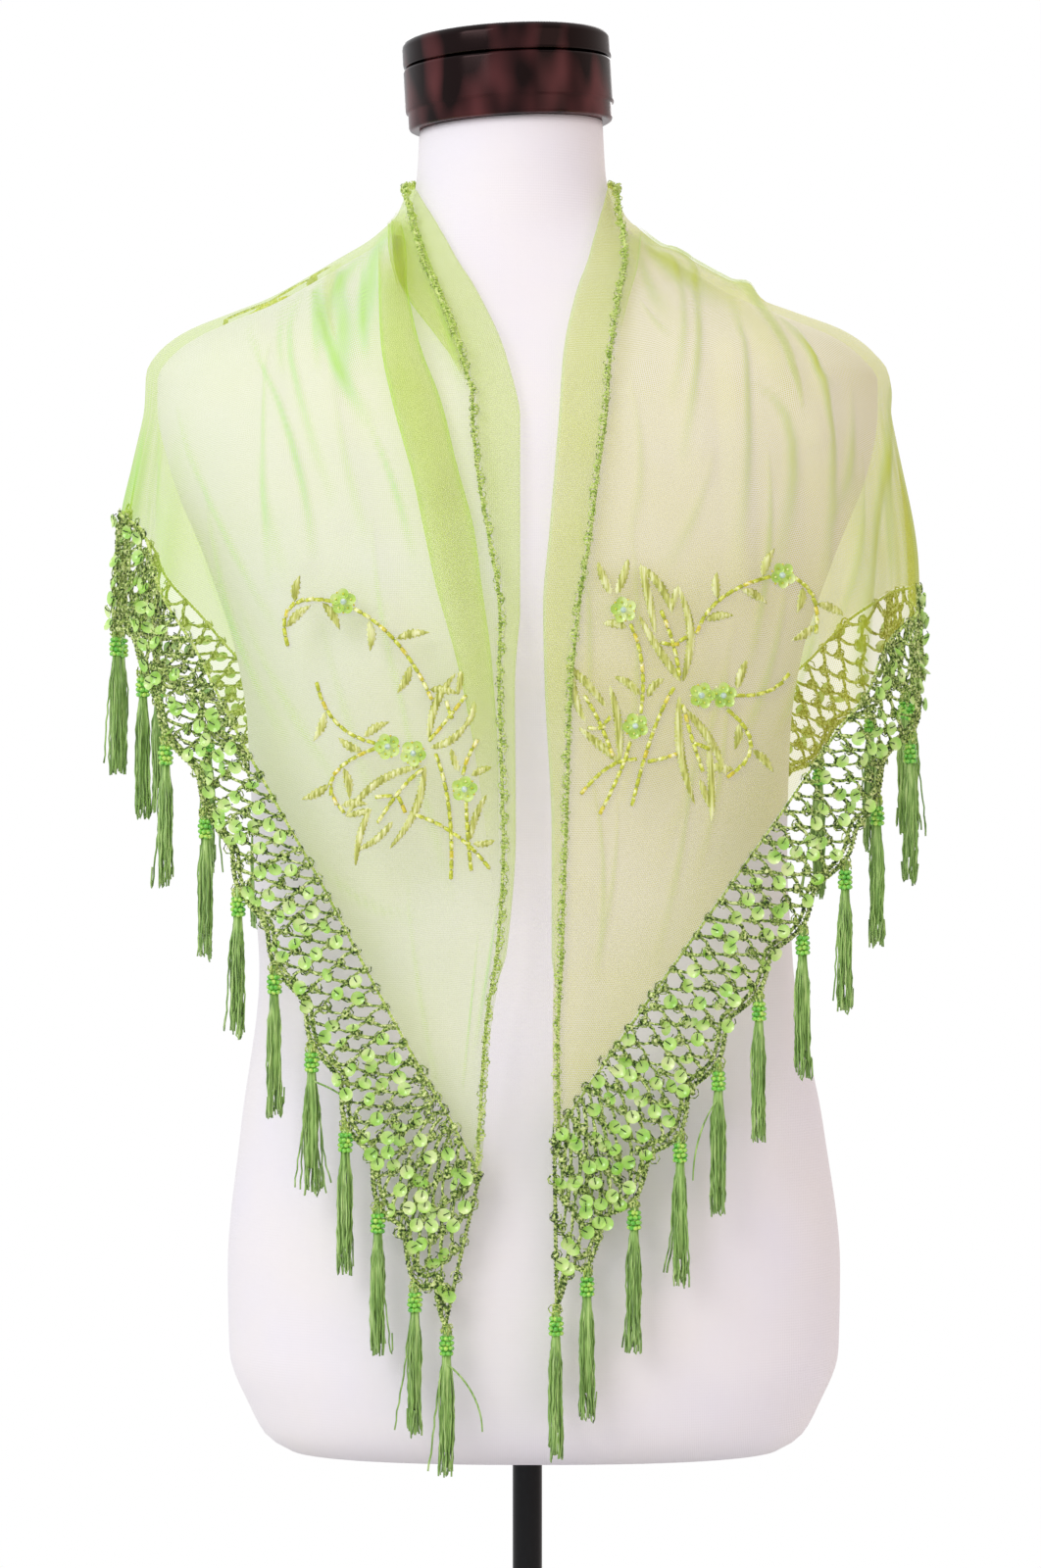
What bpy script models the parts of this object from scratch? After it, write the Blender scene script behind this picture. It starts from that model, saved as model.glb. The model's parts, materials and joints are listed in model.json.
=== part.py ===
"""Beaded triangle shawl draped on a limbless dress form on a table stand.

Lengths are in millimetres up to the last step, which scales them to metres.
Z is up, the front faces -Y, and the origin is the centre of the base's underside.
The side value is -1 for the viewer's left and 1 for the right.
"""
import bpy
import bmesh
import math
from mathutils import Vector

MM = 0.001

# Stand, measured from the surface it stands on
BASE_RADIUS = 160.0
BASE_THICKNESS = 12.0
BASE_EDGE = 4.0
BASE_FOOT = 1.5
BASE_SIDES = 36
COLLAR_RADIUS = 24.0
COLLAR_HEIGHT = 22.0
COLLAR_FLANGE = 6.0
COLLAR_WALL = 3.0
POLE_SIDES = 20
POLE_RADIUS = 9.0
FORM_LIFT = 220.0

# Neck cap and its lid, tilted with the neck's top
CAP_RADIUS = 64.0
CAP_HEIGHT = 38.0
CAP_FOOT = 12.0
CAP_BEVEL = 2.0
CAP_INSET = 1.5
CAP_SIDES = 28
LID_HEIGHT = 18.0
LID_DOME = 1.0
LID_SHOULDER = 1.2
CAP_EDGE = 4.0
NECK_TILT = math.radians(3.2)

# Cloth and its trims
SEAM_GAP = 0.3
WALL = 1.2
LACE_WALL = 1.8
CLEARANCE = 4.0
RIM_LIFT = 2.9
RIM_LIFT_HEIGHT = 660.0
RIM_SPREAD = 34.0
CREASE_REACH = math.radians(100.0)
NET_SEAM = 1.0
LAPEL_GAP = 1.3
LAPEL_END = 430.0
FRONT_ROW_STEP = 30.0
TRIM_RADIUS = 2.0
TRIM_FACET = 0.9
TRIM_BESIDE = 3.8
BACK_TRIM_START = math.radians(86.0)
BACK_TRIM_STEPS = 10
LACE_WIDTH = 52.0
SCALLOP_DEPTH = 7.0
SCALLOP_POINT = 1.4
SCALLOPS = 18
SEAM_MARK = 0.006
FIRST_SCALLOP = 0.62

# Tassels: the head's profile as distance below its top and radius, then the strands
HEAD_PROFILE = (
    (0.0, 1.7),
    (4.0, 4.2),
    (13.0, 5.2),
    (18.0, 4.6),
)
STRANDS = 5
STRAND_LENGTH = 70.0
STRAND_SPREAD = 1.35
STRAND_INSET = 0.5
TASSEL_TURN = 0.9

FORM_SIDES = 28
RIM = 652.0
NECK_FRONT = 767.0
NECK_BACK = 790.0

# Torso rings: height above its underside, half-width, front depth, back depth,
# centre across, squareness of the ring
FORM_RINGS = (
    (0.0, 150.0, 86.0, 80.0, 4.0, 2.4),
    (8.0, 163.0, 98.0, 90.0, 4.0, 2.4),
    (25.0, 173.0, 107.0, 97.0, 4.0, 2.4),
    (60.0, 186.0, 113.0, 101.0, 4.0, 2.4),
    (110.0, 187.0, 115.0, 102.0, 4.0, 2.4),
    (195.0, 178.0, 108.0, 97.0, 3.0, 2.4),
    (300.0, 163.0, 95.0, 85.0, -1.0, 2.4),
    (350.0, 163.0, 95.0, 84.0, -4.0, 2.4),
    (440.0, 166.0, 108.0, 90.0, -5.0, 2.4),
    (485.0, 173.0, 120.0, 96.0, -5.0, 2.4),
    (540.0, 191.0, 127.0, 102.0, -5.0, 2.4),
    (600.0, 214.0, 124.0, 105.0, -5.0, 2.4),
    (634.0, 220.0, 115.0, 103.0, -6.0, 2.4),
    (652.0, 220.0, 108.0, 100.0, -6.0, 2.4),
    (663.0, 213.0, 103.0, 97.0, -7.0, 2.35),
    (675.0, 199.0, 96.0, 92.0, -7.0, 2.3),
    (687.0, 173.0, 88.0, 86.0, -8.0, 2.2),
    (697.0, 148.0, 81.0, 80.0, -9.0, 2.1),
    (708.0, 127.0, 73.0, 75.0, -10.0, 2.0),
    (721.0, 105.0, 67.0, 70.0, -10.0, 2.0),
    (735.0, 82.0, 62.0, 66.0, -10.0, 2.0),
    (752.0, 65.0, 59.0, 62.0, -10.0, 2.0),
    (775.0, 58.0, 56.5, 58.0, -10.0, 2.0),
    (807.0, 56.0, 56.0, 56.0, -10.0, 2.0),
)

# The hollow under the hanging cloth, in the same columns; it meets the torso at the rim
HANG_RINGS = (
    (60.0, 235.0, 125.0, 113.0, -6.0, 2.4),
    (250.0, 235.0, 126.0, 113.0, -6.0, 2.4),
    (440.0, 236.0, 127.0, 112.0, -6.0, 2.4),
    (540.0, 234.0, 128.0, 111.0, -6.0, 2.4),
    (600.0, 228.0, 125.0, 107.0, -6.0, 2.4),
    (652.0, 220.0, 108.0, 100.0, -6.0, 2.4),
)

# Front edges of the cloth: height, place across on the left and on the right
FRONT_EDGES = (
    (84.0, -48.0, 16.5),
    (175.0, -27.5, 15.5),
    (261.0, -21.5, 14.5),
    (313.0, -13.0, 15.5),
    (376.0, -8.5, 15.5),
    (462.0, -9.0, 11.5),
    (509.0, -5.5, 10.5),
    (551.0, -2.5, 14.0),
    (592.0, -2.0, 17.5),
    (622.0, -6.0, 20.0),
    (652.0, -13.5, 22.0),
    (688.0, -28.0, 28.5),
    (721.0, -45.0, 37.5),
    (767.0, -65.0, 45.0),
)

# Width of the turned-out front: height, left, right
LAPEL_WIDTHS = (
    (260.0, 1.0, 1.0),
    (380.0, 4.0, 5.0),
    (465.0, 6.0, 12.0),
    (516.0, 8.0, 18.0),
    (541.0, 12.0, 20.0),
    (590.0, 20.0, 22.0),
    (626.0, 23.0, 24.0),
    (656.0, 23.0, 24.0),
    (700.0, 20.0, 22.0),
    (740.0, 13.0, 14.0),
    (767.0, 9.0, 9.0),
)

# Lower edge: angle from the front in degrees, height of the lace's outer edge, height of the net's
LOWER_EDGES = {
    -1: (
        (3.0, 80.0, 175.0),
        (6.0, 84.0, 205.0),
        (11.0, 112.0, 245.0),
        (16.0, 157.0, 284.0),
        (25.0, 242.0, 350.0),
        (38.0, 331.0, 426.0),
        (52.0, 415.0, 496.0),
        (72.0, 485.0, 561.0),
        (90.0, 504.0, 573.0),
        (110.0, 487.0, 552.0),
        (135.0, 420.0, 488.0),
        (160.0, 342.0, 413.0),
        (180.0, 290.0, 374.0),
    ),
    1: (
        (2.0, 90.0, 190.0),
        (6.0, 116.0, 222.0),
        (12.0, 155.0, 262.0),
        (18.0, 190.0, 297.0),
        (30.0, 269.0, 359.0),
        (46.0, 341.0, 427.0),
        (62.0, 403.0, 480.0),
        (75.0, 444.0, 510.0),
        (90.0, 464.0, 527.0),
        (110.0, 460.0, 524.0),
        (135.0, 413.0, 482.0),
        (160.0, 341.0, 412.0),
        (180.0, 290.0, 374.0),
    ),
}

# Creases on the fronts: side, upper end across and height, lower end across and height,
# half-width, rise
CREASES = (
    (-1, -80.0, 712.0, -56.0, 580.0, 22.0, 4.5),
    (-1, -56.0, 580.0, -34.0, 400.0, 20.0, 4.0),
    (-1, -158.0, 676.0, -130.0, 536.0, 13.0, 4.0),
    (-1, -128.0, 690.0, -108.0, 560.0, 11.0, 3.5),
    (-1, -116.0, 640.0, -80.0, 500.0, 12.0, 3.5),
    (1, 84.0, 716.0, 128.0, 694.0, 15.0, 4.5),
    (1, 128.0, 694.0, 166.0, 610.0, 13.0, 4.5),
    (1, 88.0, 690.0, 100.0, 590.0, 17.0, 3.5),
    (1, 120.0, 660.0, 126.0, 520.0, 12.0, 4.0),
    (1, 172.0, 640.0, 174.0, 520.0, 13.0, 4.5),
)

# Hanging folds: side, angle in degrees, half-width in degrees, rise at full depth
HANGING_FOLDS = (
    (-1, 58.0, 9.0, 6.0),
    (-1, 79.0, 8.0, 9.0),
    (-1, 98.0, 9.0, 7.0),
    (-1, 119.0, 10.0, 8.0),
    (-1, 145.0, 10.0, 6.0),
    (-1, 169.0, 9.0, 5.0),
    (1, 55.0, 8.0, 6.0),
    (1, 74.0, 8.0, 9.0),
    (1, 93.0, 8.0, 8.0),
    (1, 114.0, 10.0, 7.0),
    (1, 137.0, 10.0, 7.0),
    (1, 160.0, 10.0, 5.0),
)
FOLD_DEPTH = 120.0

# Places of the net's rows, as shares of the height from neck to rim
SHOULDER_ROWS = (0.0, 0.2, 0.38, 0.52, 0.64, 0.75, 0.87, 1.0)
FRONT_HANG_ROWS = 9
BACK_HANG_ROWS = 6

# Where the net's stretches and columns stand, counted in scallops from the front tip
STEEP_END = 6
FRONT_END = 12
WIDE_STEP = 2.0 / 3.0

# Lace: cells a scallop, rows of holes across it, and the hole's share of a cell
CELLS_A_SCALLOP = 3
HOLE_ROWS = (0.012, 0.42, 0.82)
HOLE_ACROSS = 0.27
HOLE_DOWN = 0.36
TIP_SHARE = 0.38

COLOURS = {
    "net": ((0.52, 0.74, 0.16), 0.75, 0.0),
    "lace": ((0.30, 0.46, 0.16), 0.85, 0.0),
    "trim": ((0.21, 0.46, 0.08), 0.8, 0.0),
    "tassel": ((0.11, 0.29, 0.05), 0.6, 0.0),
    "jersey": ((0.85, 0.82, 0.85), 0.9, 0.0),
    "lacquer": ((0.02, 0.008, 0.008), 0.12, 0.0),
    "pole": ((0.01, 0.01, 0.01), 0.2, 0.4),
}


def clear_scene():
    """Remove every object that the file starts with."""
    for old in list(bpy.data.objects):
        bpy.data.objects.remove(old, do_unlink=True)


def material_for(name, kind):
    """Principled material of one piece, coloured by its kind."""
    colour, roughness, metallic = COLOURS[kind]
    material = bpy.data.materials.new(name)
    material.use_nodes = True
    shader = material.node_tree.nodes["Principled BSDF"]
    shader.inputs["Base Color"].default_value = (*colour, 1.0)
    shader.inputs["Roughness"].default_value = roughness
    shader.inputs["Metallic"].default_value = metallic
    material.diffuse_color = (*colour, 1.0)
    return material


def add_object(name, data, kind):
    """Link new data as a named object with its own material."""
    piece = bpy.data.objects.new(name, data)
    PARTS.objects.link(piece)
    if data.users == 1:
        data.materials.append(material_for(name, kind))
    return piece


def table_slope(table, row, column):
    """Slope of a table's column at a row, kept from overshooting its neighbours."""
    slopes = []
    for low in (row - 1, row):
        if 0 <= low < len(table) - 1:
            run = table[low + 1][0] - table[low][0]
            slopes.append((table[low + 1][column] - table[low][column]) / run)
    if len(slopes) == 1:
        return slopes[0]
    if slopes[0] * slopes[1] <= 0.0:
        return 0.0
    return 2.0 * slopes[0] * slopes[1] / (slopes[0] + slopes[1])


def table_at(table, key):
    """Values of a table's columns at a key, on a smooth curve through its rows."""
    if key <= table[0][0]:
        return table[0][1:]
    if key >= table[-1][0]:
        return table[-1][1:]
    low = max(row for row in range(len(table) - 1) if table[row][0] <= key)
    run = table[low + 1][0] - table[low][0]
    t = (key - table[low][0]) / run
    values = []
    for column in range(1, len(table[0])):
        leaving = table_slope(table, low, column) * run
        arriving = table_slope(table, low + 1, column) * run
        value = (2 * t**3 - 3 * t**2 + 1) * table[low][column]
        value += (t**3 - 2 * t**2 + t) * leaving
        value += (3 * t**2 - 2 * t**3) * table[low + 1][column]
        value += (t**3 - t**2) * arriving
        values.append(value)
    return values


def ease(share):
    """Smooth step from 0 to 1."""
    share = min(1.0, max(0.0, share))
    return share * share * (3.0 - 2.0 * share)


def bump(distance, half_width):
    """Rounded rise that is 1 at its middle and 0 beyond its half-width."""
    if abs(distance) >= half_width:
        return 0.0
    return math.cos(0.5 * math.pi * distance / half_width) ** 2


def ring_point(ring, side, height, angle):
    """Point of a ring at an angle from the front, ring being the columns after height."""
    half_width, front, back, centre, squareness = ring
    across = max(0.0, math.sin(angle)) ** (2.0 / squareness)
    along = abs(math.cos(angle)) ** (2.0 / squareness)
    depth = -front if math.cos(angle) > 0.0 else back
    return Vector((centre + side * half_width * across, depth * along, height))


def shell_ring(height):
    """Ring of the shape under the cloth: the torso above the rim, the hollow below."""
    return table_at(FORM_RINGS if height >= RIM else HANG_RINGS, height)


def shell_point(side, height, angle):
    return ring_point(shell_ring(height), side, height, angle)


def outward(side, height, angle):
    """Unit normal of the shape under the cloth."""
    turn = math.radians(1.0)
    sweep = shell_point(side, height, angle + turn) - shell_point(side, height, angle - turn)
    rise = shell_point(side, height + 2.0, angle) - shell_point(side, height - 2.0, angle)
    return (sweep.cross(rise) * side).normalized()


def fold_rise(side, point, angle):
    """How far creases and hanging folds lift the cloth at a point."""
    rise = RIM_LIFT * bump(point.z - RIM_LIFT_HEIGHT, RIM_SPREAD)
    if angle < CREASE_REACH:
        for crease_side, x_top, z_top, x_low, z_low, half_width, lift in CREASES:
            if crease_side == side:
                top = Vector((x_top, z_top))
                run = Vector((x_low, z_low)) - top
                here = Vector((point.x, point.z)) - top
                share = min(1.0, max(0.0, here.dot(run) / run.length_squared))
                rise += lift * bump((here - run * share).length, half_width)
    sink = ease((RIM - point.z) / FOLD_DEPTH)
    for fold_side, middle, half_width, lift in HANGING_FOLDS:
        if fold_side == side:
            rise += lift * sink * bump(math.degrees(angle) - middle, half_width)
    return rise


def cloth_point(side, height, angle, out=0.0):
    """Point on the cloth's inner face, moved out along the normal."""
    point = shell_point(side, height, angle)
    lift = CLEARANCE + fold_rise(side, point, angle) + out
    return point + outward(side, height, angle) * lift


def edge_angle(side, height):
    """Angle at which the front edge of the cloth runs at a height."""
    left, right = table_at(FRONT_EDGES, height)
    half_width, _, _, centre, squareness = shell_ring(height)
    across = side * ((left if side < 0 else right) - centre) / half_width
    across = min(0.99, max(0.0, across))
    return math.asin(across ** (squareness / 2.0))


def walk(side, height, angle, distance):
    """Angle reached after a distance along a level line, away from the front."""
    step = math.radians(0.5)
    here = shell_point(side, height, angle)
    while distance > 0.0:
        ahead = shell_point(side, height, angle + step)
        length = (ahead - here).length
        if length >= distance:
            return angle + step * distance / length
        distance -= length
        angle += step
        here = ahead
    return angle


def lower_heights(side, angle):
    """Heights of the lace's outer edge and of the net's lower edge."""
    return table_at(LOWER_EDGES[side], math.degrees(angle))


def tip_height(side):
    """Height of the front tip, where the outer edge meets the front edge."""
    height = FRONT_EDGES[0][0]
    for _ in range(20):
        height = lower_heights(side, edge_angle(side, height))[0]
    return height


def net_corner_angle(side):
    """Angle of the net's lower front corner."""
    height = FRONT_EDGES[1][0]
    for _ in range(20):
        height = lower_heights(side, edge_angle(side, height))[1]
    return edge_angle(side, height)


def hem_marks(side):
    """Angles along the outer edge at fine, equal steps of its length."""
    start = edge_angle(side, tip_height(side))
    steps = 720
    angles = [start + (math.pi - start) * k / steps for k in range(steps + 1)]
    points = [cloth_point(side, lower_heights(side, a)[0], a) for a in angles]
    lengths = [0.0]
    for before, after in zip(points, points[1:]):
        lengths.append(lengths[-1] + (after - before).length)
    return angles, lengths


def hem_angle(side, scallop):
    """Angle on the outer edge at a count of scallops from the front tip, the first one short."""
    angles, lengths = HEM[side]
    pitches = scallop * FIRST_SCALLOP if scallop < 1.0 else scallop - 1.0 + FIRST_SCALLOP
    wanted = lengths[-1] * pitches / (SCALLOPS - 1.0 + FIRST_SCALLOP)
    for k in range(1, len(lengths)):
        if lengths[k] >= wanted:
            share = (wanted - lengths[k - 1]) / (lengths[k] - lengths[k - 1])
            return angles[k - 1] + (angles[k] - angles[k - 1]) * share
    return angles[-1]


def net_angle(side, scallop):
    """Angle on the net's lower edge straight across the lace from a scallop mark."""
    angle = hem_angle(side, scallop)
    turn = math.radians(1.0)
    low = max(angle - turn, hem_angle(side, 0.0))
    high = min(angle + turn, math.pi)
    low_height = lower_heights(side, low)[0]
    high_height = lower_heights(side, high)[0]
    run = (shell_point(side, low_height, high) - shell_point(side, low_height, low)).length
    slope = (high_height - low_height) / run
    shift = slope / math.sqrt(1.0 + slope * slope) * LACE_WIDTH * (high - low) / run
    first = NET_CORNER[side] + TIP_SHARE * (angle - hem_angle(side, 0.0))
    last = math.pi - TIP_SHARE * (math.pi - angle)
    return min(max(angle - shift, first), last)


def lace_point(side, scallop, down, out=0.0):
    """Point of the lace: scallops from the front tip, share of the way from net to outer edge."""
    upper = net_angle(side, scallop)
    lower = hem_angle(side, scallop)
    angle = upper + (lower - upper) * down
    top = lower_heights(side, upper)[1]
    bottom = lower_heights(side, lower)[0]
    return cloth_point(side, top + (bottom - top) * down, angle, out)


def chain_edge(scallop):
    """Share across the lace at which its scalloped edge lies, 1 at each point."""
    reach = abs(math.cos(math.pi * scallop)) ** SCALLOP_POINT
    return 1.0 - SCALLOP_DEPTH / LACE_WIDTH * (1.0 - reach)


def net_column(side, scallop, hang_rows):
    """Points of the net down one column, from the neck or front edge to the lace."""
    corner = NET_CORNER[side]
    angle_low = net_angle(side, scallop)
    share = (angle_low - corner) / (math.pi - corner)
    bottom = lower_heights(side, angle_low)[1]
    edge_bottom = lower_heights(side, corner)[1]
    top = NECK_FRONT + (NECK_BACK - NECK_FRONT) * ease(share)
    points = []
    for row in SHOULDER_ROWS:
        edge = edge_angle(side, NECK_FRONT + (RIM - NECK_FRONT) * row)
        angle = edge + (math.pi - edge) * share
        points.append(cloth_point(side, top + (RIM - top) * row, angle))
    for row in range(1, hang_rows + 1):
        down = row / hang_rows
        edge = edge_angle(side, RIM + (edge_bottom - RIM) * down)
        angle = edge + (math.pi - edge) * share
        points.append(cloth_point(side, RIM + (bottom - RIM) * down, angle))
    return points


def to_metres(point):
    """Point above the torso's underside, in the part's frame."""
    return Vector((point.x, point.y, point.z + FORM_LIFT)) * MM


def sheet_object(name, columns, kind, wall, flip):
    """Cloth wall through columns of points, thickened outwards."""
    bm = bmesh.new()
    grid = [[bm.verts.new(to_metres(point)) for point in column] for column in columns]
    for left, right in zip(grid, grid[1:]):
        for k in range(len(left) - 1):
            corners = [left[k], left[k + 1], right[k + 1], right[k]]
            bm.faces.new(corners[::-1] if flip else corners)
    return thicken(name, bm, kind, wall)


def thicken(name, bm, kind, wall):
    """Object from an open surface, given the wall's thickness outwards."""
    mesh = bpy.data.meshes.new(name)
    bm.to_mesh(mesh)
    bm.free()
    piece = add_object(name, mesh, kind)
    solid = piece.modifiers.new("wall", "SOLIDIFY")
    solid.thickness = wall * MM
    solid.offset = 1.0
    return piece


def part_columns(columns, gap):
    """Draw the first and last columns in by half a gap, so that neighbours stay apart."""
    for edge, neighbour in ((0, 1), (-1, -2)):
        for k, point in enumerate(columns[edge]):
            step = columns[neighbour][k] - point
            columns[edge][k] = point + step.normalized() * gap * 0.5
    return columns


def net_marks(first, last):
    """Marks of net columns from one scallop to another, closer where the edge isn't steep."""
    steep = list(range(first, STEEP_END))
    start = max(first, STEEP_END)
    steps = round((last - start) / WIDE_STEP)
    return steep + [start + (last - start) * k / steps for k in range(steps + 1)]


def seam_point(side, scallop):
    """Point just below the straight run between the net columns on each side of a mark."""
    marks = net_marks(0, SCALLOPS)
    low = max(mark for mark in marks[:-1] if mark <= scallop + 1e-6)
    high = min(mark for mark in marks if mark > low)
    share = (scallop - low) / (high - low)
    before = lace_point(side, low, HOLE_ROWS[0])
    after = lace_point(side, high, HOLE_ROWS[0])
    return before + (after - before) * share


def build_net():
    """The two front stretches of the net and the back one."""
    front_marks = net_marks(0, FRONT_END)
    back_marks = net_marks(FRONT_END, SCALLOPS)
    for side, name in ((-1, "net_front_left"), (1, "net_front_right")):
        columns = [net_column(side, mark, FRONT_HANG_ROWS) for mark in front_marks]
        sheet_object(name, part_columns(columns, NET_SEAM), "net", WALL, side > 0)
    columns = [net_column(-1, mark, BACK_HANG_ROWS) for mark in back_marks]
    columns += [net_column(1, mark, BACK_HANG_ROWS) for mark in back_marks[-2::-1]]
    sheet_object("net_back", part_columns(columns, NET_SEAM), "net", WALL, False)


def lapel_width(side, height):
    return table_at(LAPEL_WIDTHS, height)[0 if side < 0 else 1]


def front_heights(lowest):
    """Heights of the front rows, from the neck down to the lowest."""
    heights = [NECK_FRONT + (RIM - NECK_FRONT) * row for row in SHOULDER_ROWS]
    steps = math.ceil((RIM - lowest) / FRONT_ROW_STEP)
    return heights + [RIM + (lowest - RIM) * k / steps for k in range(1, steps + 1)]


def build_lapels():
    """The edge turned outwards over each front, lying on the net."""
    for side, name in ((-1, "lapel_left"), (1, "lapel_right")):
        columns = []
        for share in (0.0, 0.5, 1.0):
            column = []
            for height in front_heights(LAPEL_END):
                width = lapel_width(side, height) * share
                angle = walk(side, height, edge_angle(side, height), width)
                column.append(cloth_point(side, height, angle, WALL + LAPEL_GAP))
            columns.append(column)
        sheet_object(name, columns, "net", WALL, side > 0)


def trim_object(name, points):
    """Crocheted picot trim: a thin round cord along the points."""
    curve = bpy.data.curves.new(name, "CURVE")
    curve.dimensions = "3D"
    curve.bevel_depth = TRIM_RADIUS * MM
    curve.bevel_resolution = 1
    curve.use_fill_caps = True
    spline = curve.splines.new("POLY")
    spline.points.add(len(points) - 1)
    for target, point in zip(spline.points, points):
        target.co = (*to_metres(point), 1.0)
    add_object(name, curve, "trim")


def build_trims():
    """Picot trim along both fronts and round the back of the neck."""
    out = WALL + SEAM_GAP + TRIM_RADIUS * TRIM_FACET
    for side, name in ((-1, "trim_left"), (1, "trim_right")):
        corner_height = lower_heights(side, NET_CORNER[side])[1]
        points = []
        for height in front_heights(corner_height + TRIM_RADIUS):
            beside = lapel_width(side, height) + TRIM_BESIDE
            angle = walk(side, height, edge_angle(side, height), beside)
            points.append(cloth_point(side, height, angle, out))
        trim_object(name, points)
    points = []
    for side in (-1, 1):
        half = []
        neck = edge_angle(side, NECK_FRONT)
        for k in range(BACK_TRIM_STEPS + 1):
            angle = BACK_TRIM_START + (math.pi - BACK_TRIM_START) * k / BACK_TRIM_STEPS
            share = (angle - neck) / (math.pi - neck)
            height = NECK_FRONT + (NECK_BACK - NECK_FRONT) * ease(share) - TRIM_RADIUS
            half.append(cloth_point(side, height, angle, out - SEAM_GAP))
        points += half if side < 0 else half[-2::-1]
    trim_object("trim_back", points)


def build_lace(side, name, first, last):
    """Stretch of the crocheted border: two rows of holes above a scalloped chain edge."""
    bm = bmesh.new()
    cells = round((last - first) * CELLS_A_SCALLOP)
    marks = [first + (last - first) * k / cells for k in range(cells + 1)]
    marks[0] += SEAM_MARK
    marks[-1] -= SEAM_MARK
    grid = []
    for mark in marks:
        column = [seam_point(side, mark)]
        column += [lace_point(side, mark, down) for down in HOLE_ROWS[1:]]
        column.append(lace_point(side, mark, chain_edge(mark)))
        grid.append([bm.verts.new(to_metres(point)) for point in column])
    for k, (left, right) in enumerate(zip(marks, marks[1:])):
        for row, (upper, lower) in enumerate(zip(HOLE_ROWS, HOLE_ROWS[1:])):
            corners = [grid[k][row], grid[k][row + 1], grid[k + 1][row + 1], grid[k + 1][row]]
            middle_mark = (left + right) / 2.0
            middle_down = (upper + lower) / 2.0
            across = (right - left) * HOLE_ACROSS
            down = (lower - upper) * HOLE_DOWN
            hole = []
            for shift, drop in ((-across, 0.0), (0.0, down), (across, 0.0), (0.0, -down)):
                point = lace_point(side, middle_mark + shift, middle_down + drop)
                hole.append(bm.verts.new(to_metres(point)))
            for turn in range(4):
                after = (turn + 1) % 4
                add_face(bm, [hole[turn], corners[turn], corners[after]], side)
                add_face(bm, [hole[turn], corners[after], hole[after]], side)
        edge_quad = [grid[k][-2], grid[k][-1], grid[k + 1][-1], grid[k + 1][-2]]
        add_face(bm, edge_quad, side)
    thicken(name, bm, "lace", LACE_WALL)


def add_face(bm, corners, side):
    """Face turned to look outwards on its side."""
    bm.faces.new(corners if side < 0 else corners[::-1])


def tassel_mesh():
    """Knotted, beaded head with separate strands grown from its underside."""
    top = HEAD_PROFILE[0][1] * MM
    bm = bmesh.new()
    made = bmesh.ops.create_circle(bm, cap_ends=True, segments=STRANDS, radius=top)
    face = made["verts"][0].link_faces[0]
    if face.normal.z > 0.0:
        face.normal_flip()
    for (above, wide), (below, next_wide) in zip(HEAD_PROFILE, HEAD_PROFILE[1:]):
        grown = bmesh.ops.extrude_face_region(bm, geom=[face])["geom"]
        if above > 0.0:
            bm.faces.remove(face)
        face = next(item for item in grown if isinstance(item, bmesh.types.BMFace))
        for vert in face.verts:
            vert.co.x *= next_wide / wide
            vert.co.y *= next_wide / wide
            vert.co.z -= (below - above) * MM
    roots = bmesh.ops.poke(bm, faces=[face])["faces"]
    bmesh.ops.inset_individual(bm, faces=roots, thickness=STRAND_INSET * MM)
    ends = bmesh.ops.extrude_discrete_faces(bm, faces=roots)["faces"]
    for end in ends:
        for vert in end.verts:
            vert.co.x *= STRAND_SPREAD
            vert.co.y *= STRAND_SPREAD
            vert.co.z -= STRAND_LENGTH * MM
    bmesh.ops.recalc_face_normals(bm, faces=bm.faces[:])
    mesh = bpy.data.meshes.new("tassel")
    bm.to_mesh(mesh)
    bm.free()
    mesh.materials.append(material_for("tassel", "tassel"))
    return mesh


def build_tassels():
    """One tassel at each scallop point, numbered from the left tip round the back."""
    mesh = tassel_mesh()
    marks = [SEAM_MARK, *range(1, SCALLOPS + 1)]
    places = [(-1, mark) for mark in marks]
    places += [(1, mark) for mark in marks[-2::-1]]
    for number, (side, mark) in enumerate(places, 1):
        place = lace_point(side, mark, 1.0, LACE_WALL / 2.0)
        slopes = [0.0]
        for step in (-1, 1):
            beside = mark + step / CELLS_A_SCALLOP
            if 0.0 <= beside <= SCALLOPS:
                rim = lace_point(side, beside, chain_edge(beside), LACE_WALL / 2.0) - place
                slopes.append(-rim.z / math.hypot(rim.x, rim.y))
        place.z -= 0.5 * SEAM_GAP + HEAD_PROFILE[0][1] * max(slopes)
        piece = bpy.data.objects.new(f"tassel_{number:02d}", mesh)
        PARTS.objects.link(piece)
        piece.location = to_metres(place)
        piece.rotation_euler.z = number * TASSEL_TURN


def build_form():
    """Torso of the dress form, one closed loft, its neck cut at a slight tilt."""
    bm = bmesh.new()
    rings = []
    for height, *ring in FORM_RINGS:
        lean = ease((height - RIM) / (FORM_RINGS[-1][0] - RIM)) ** 4
        row = []
        for k in range(FORM_SIDES):
            turn = 2.0 * math.pi * k / FORM_SIDES
            side = 1 if turn <= math.pi else -1
            angle = turn if turn <= math.pi else 2.0 * math.pi - turn
            point = ring_point(ring, side, height, angle)
            point.z += (point.x - ring[3]) * math.tan(NECK_TILT) * lean
            row.append(bm.verts.new(to_metres(point)))
        rings.append(row)
    for lower, upper in zip(rings, rings[1:]):
        for k in range(FORM_SIDES):
            after = (k + 1) % FORM_SIDES
            bm.faces.new([lower[k], lower[after], upper[after], upper[k]])
    bm.faces.new(rings[0][::-1])
    bm.faces.new(rings[-1])
    mesh = bpy.data.meshes.new("form_torso")
    bm.to_mesh(mesh)
    bm.free()
    mesh.shade_smooth()
    add_object("form_torso", mesh, "jersey")


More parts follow.
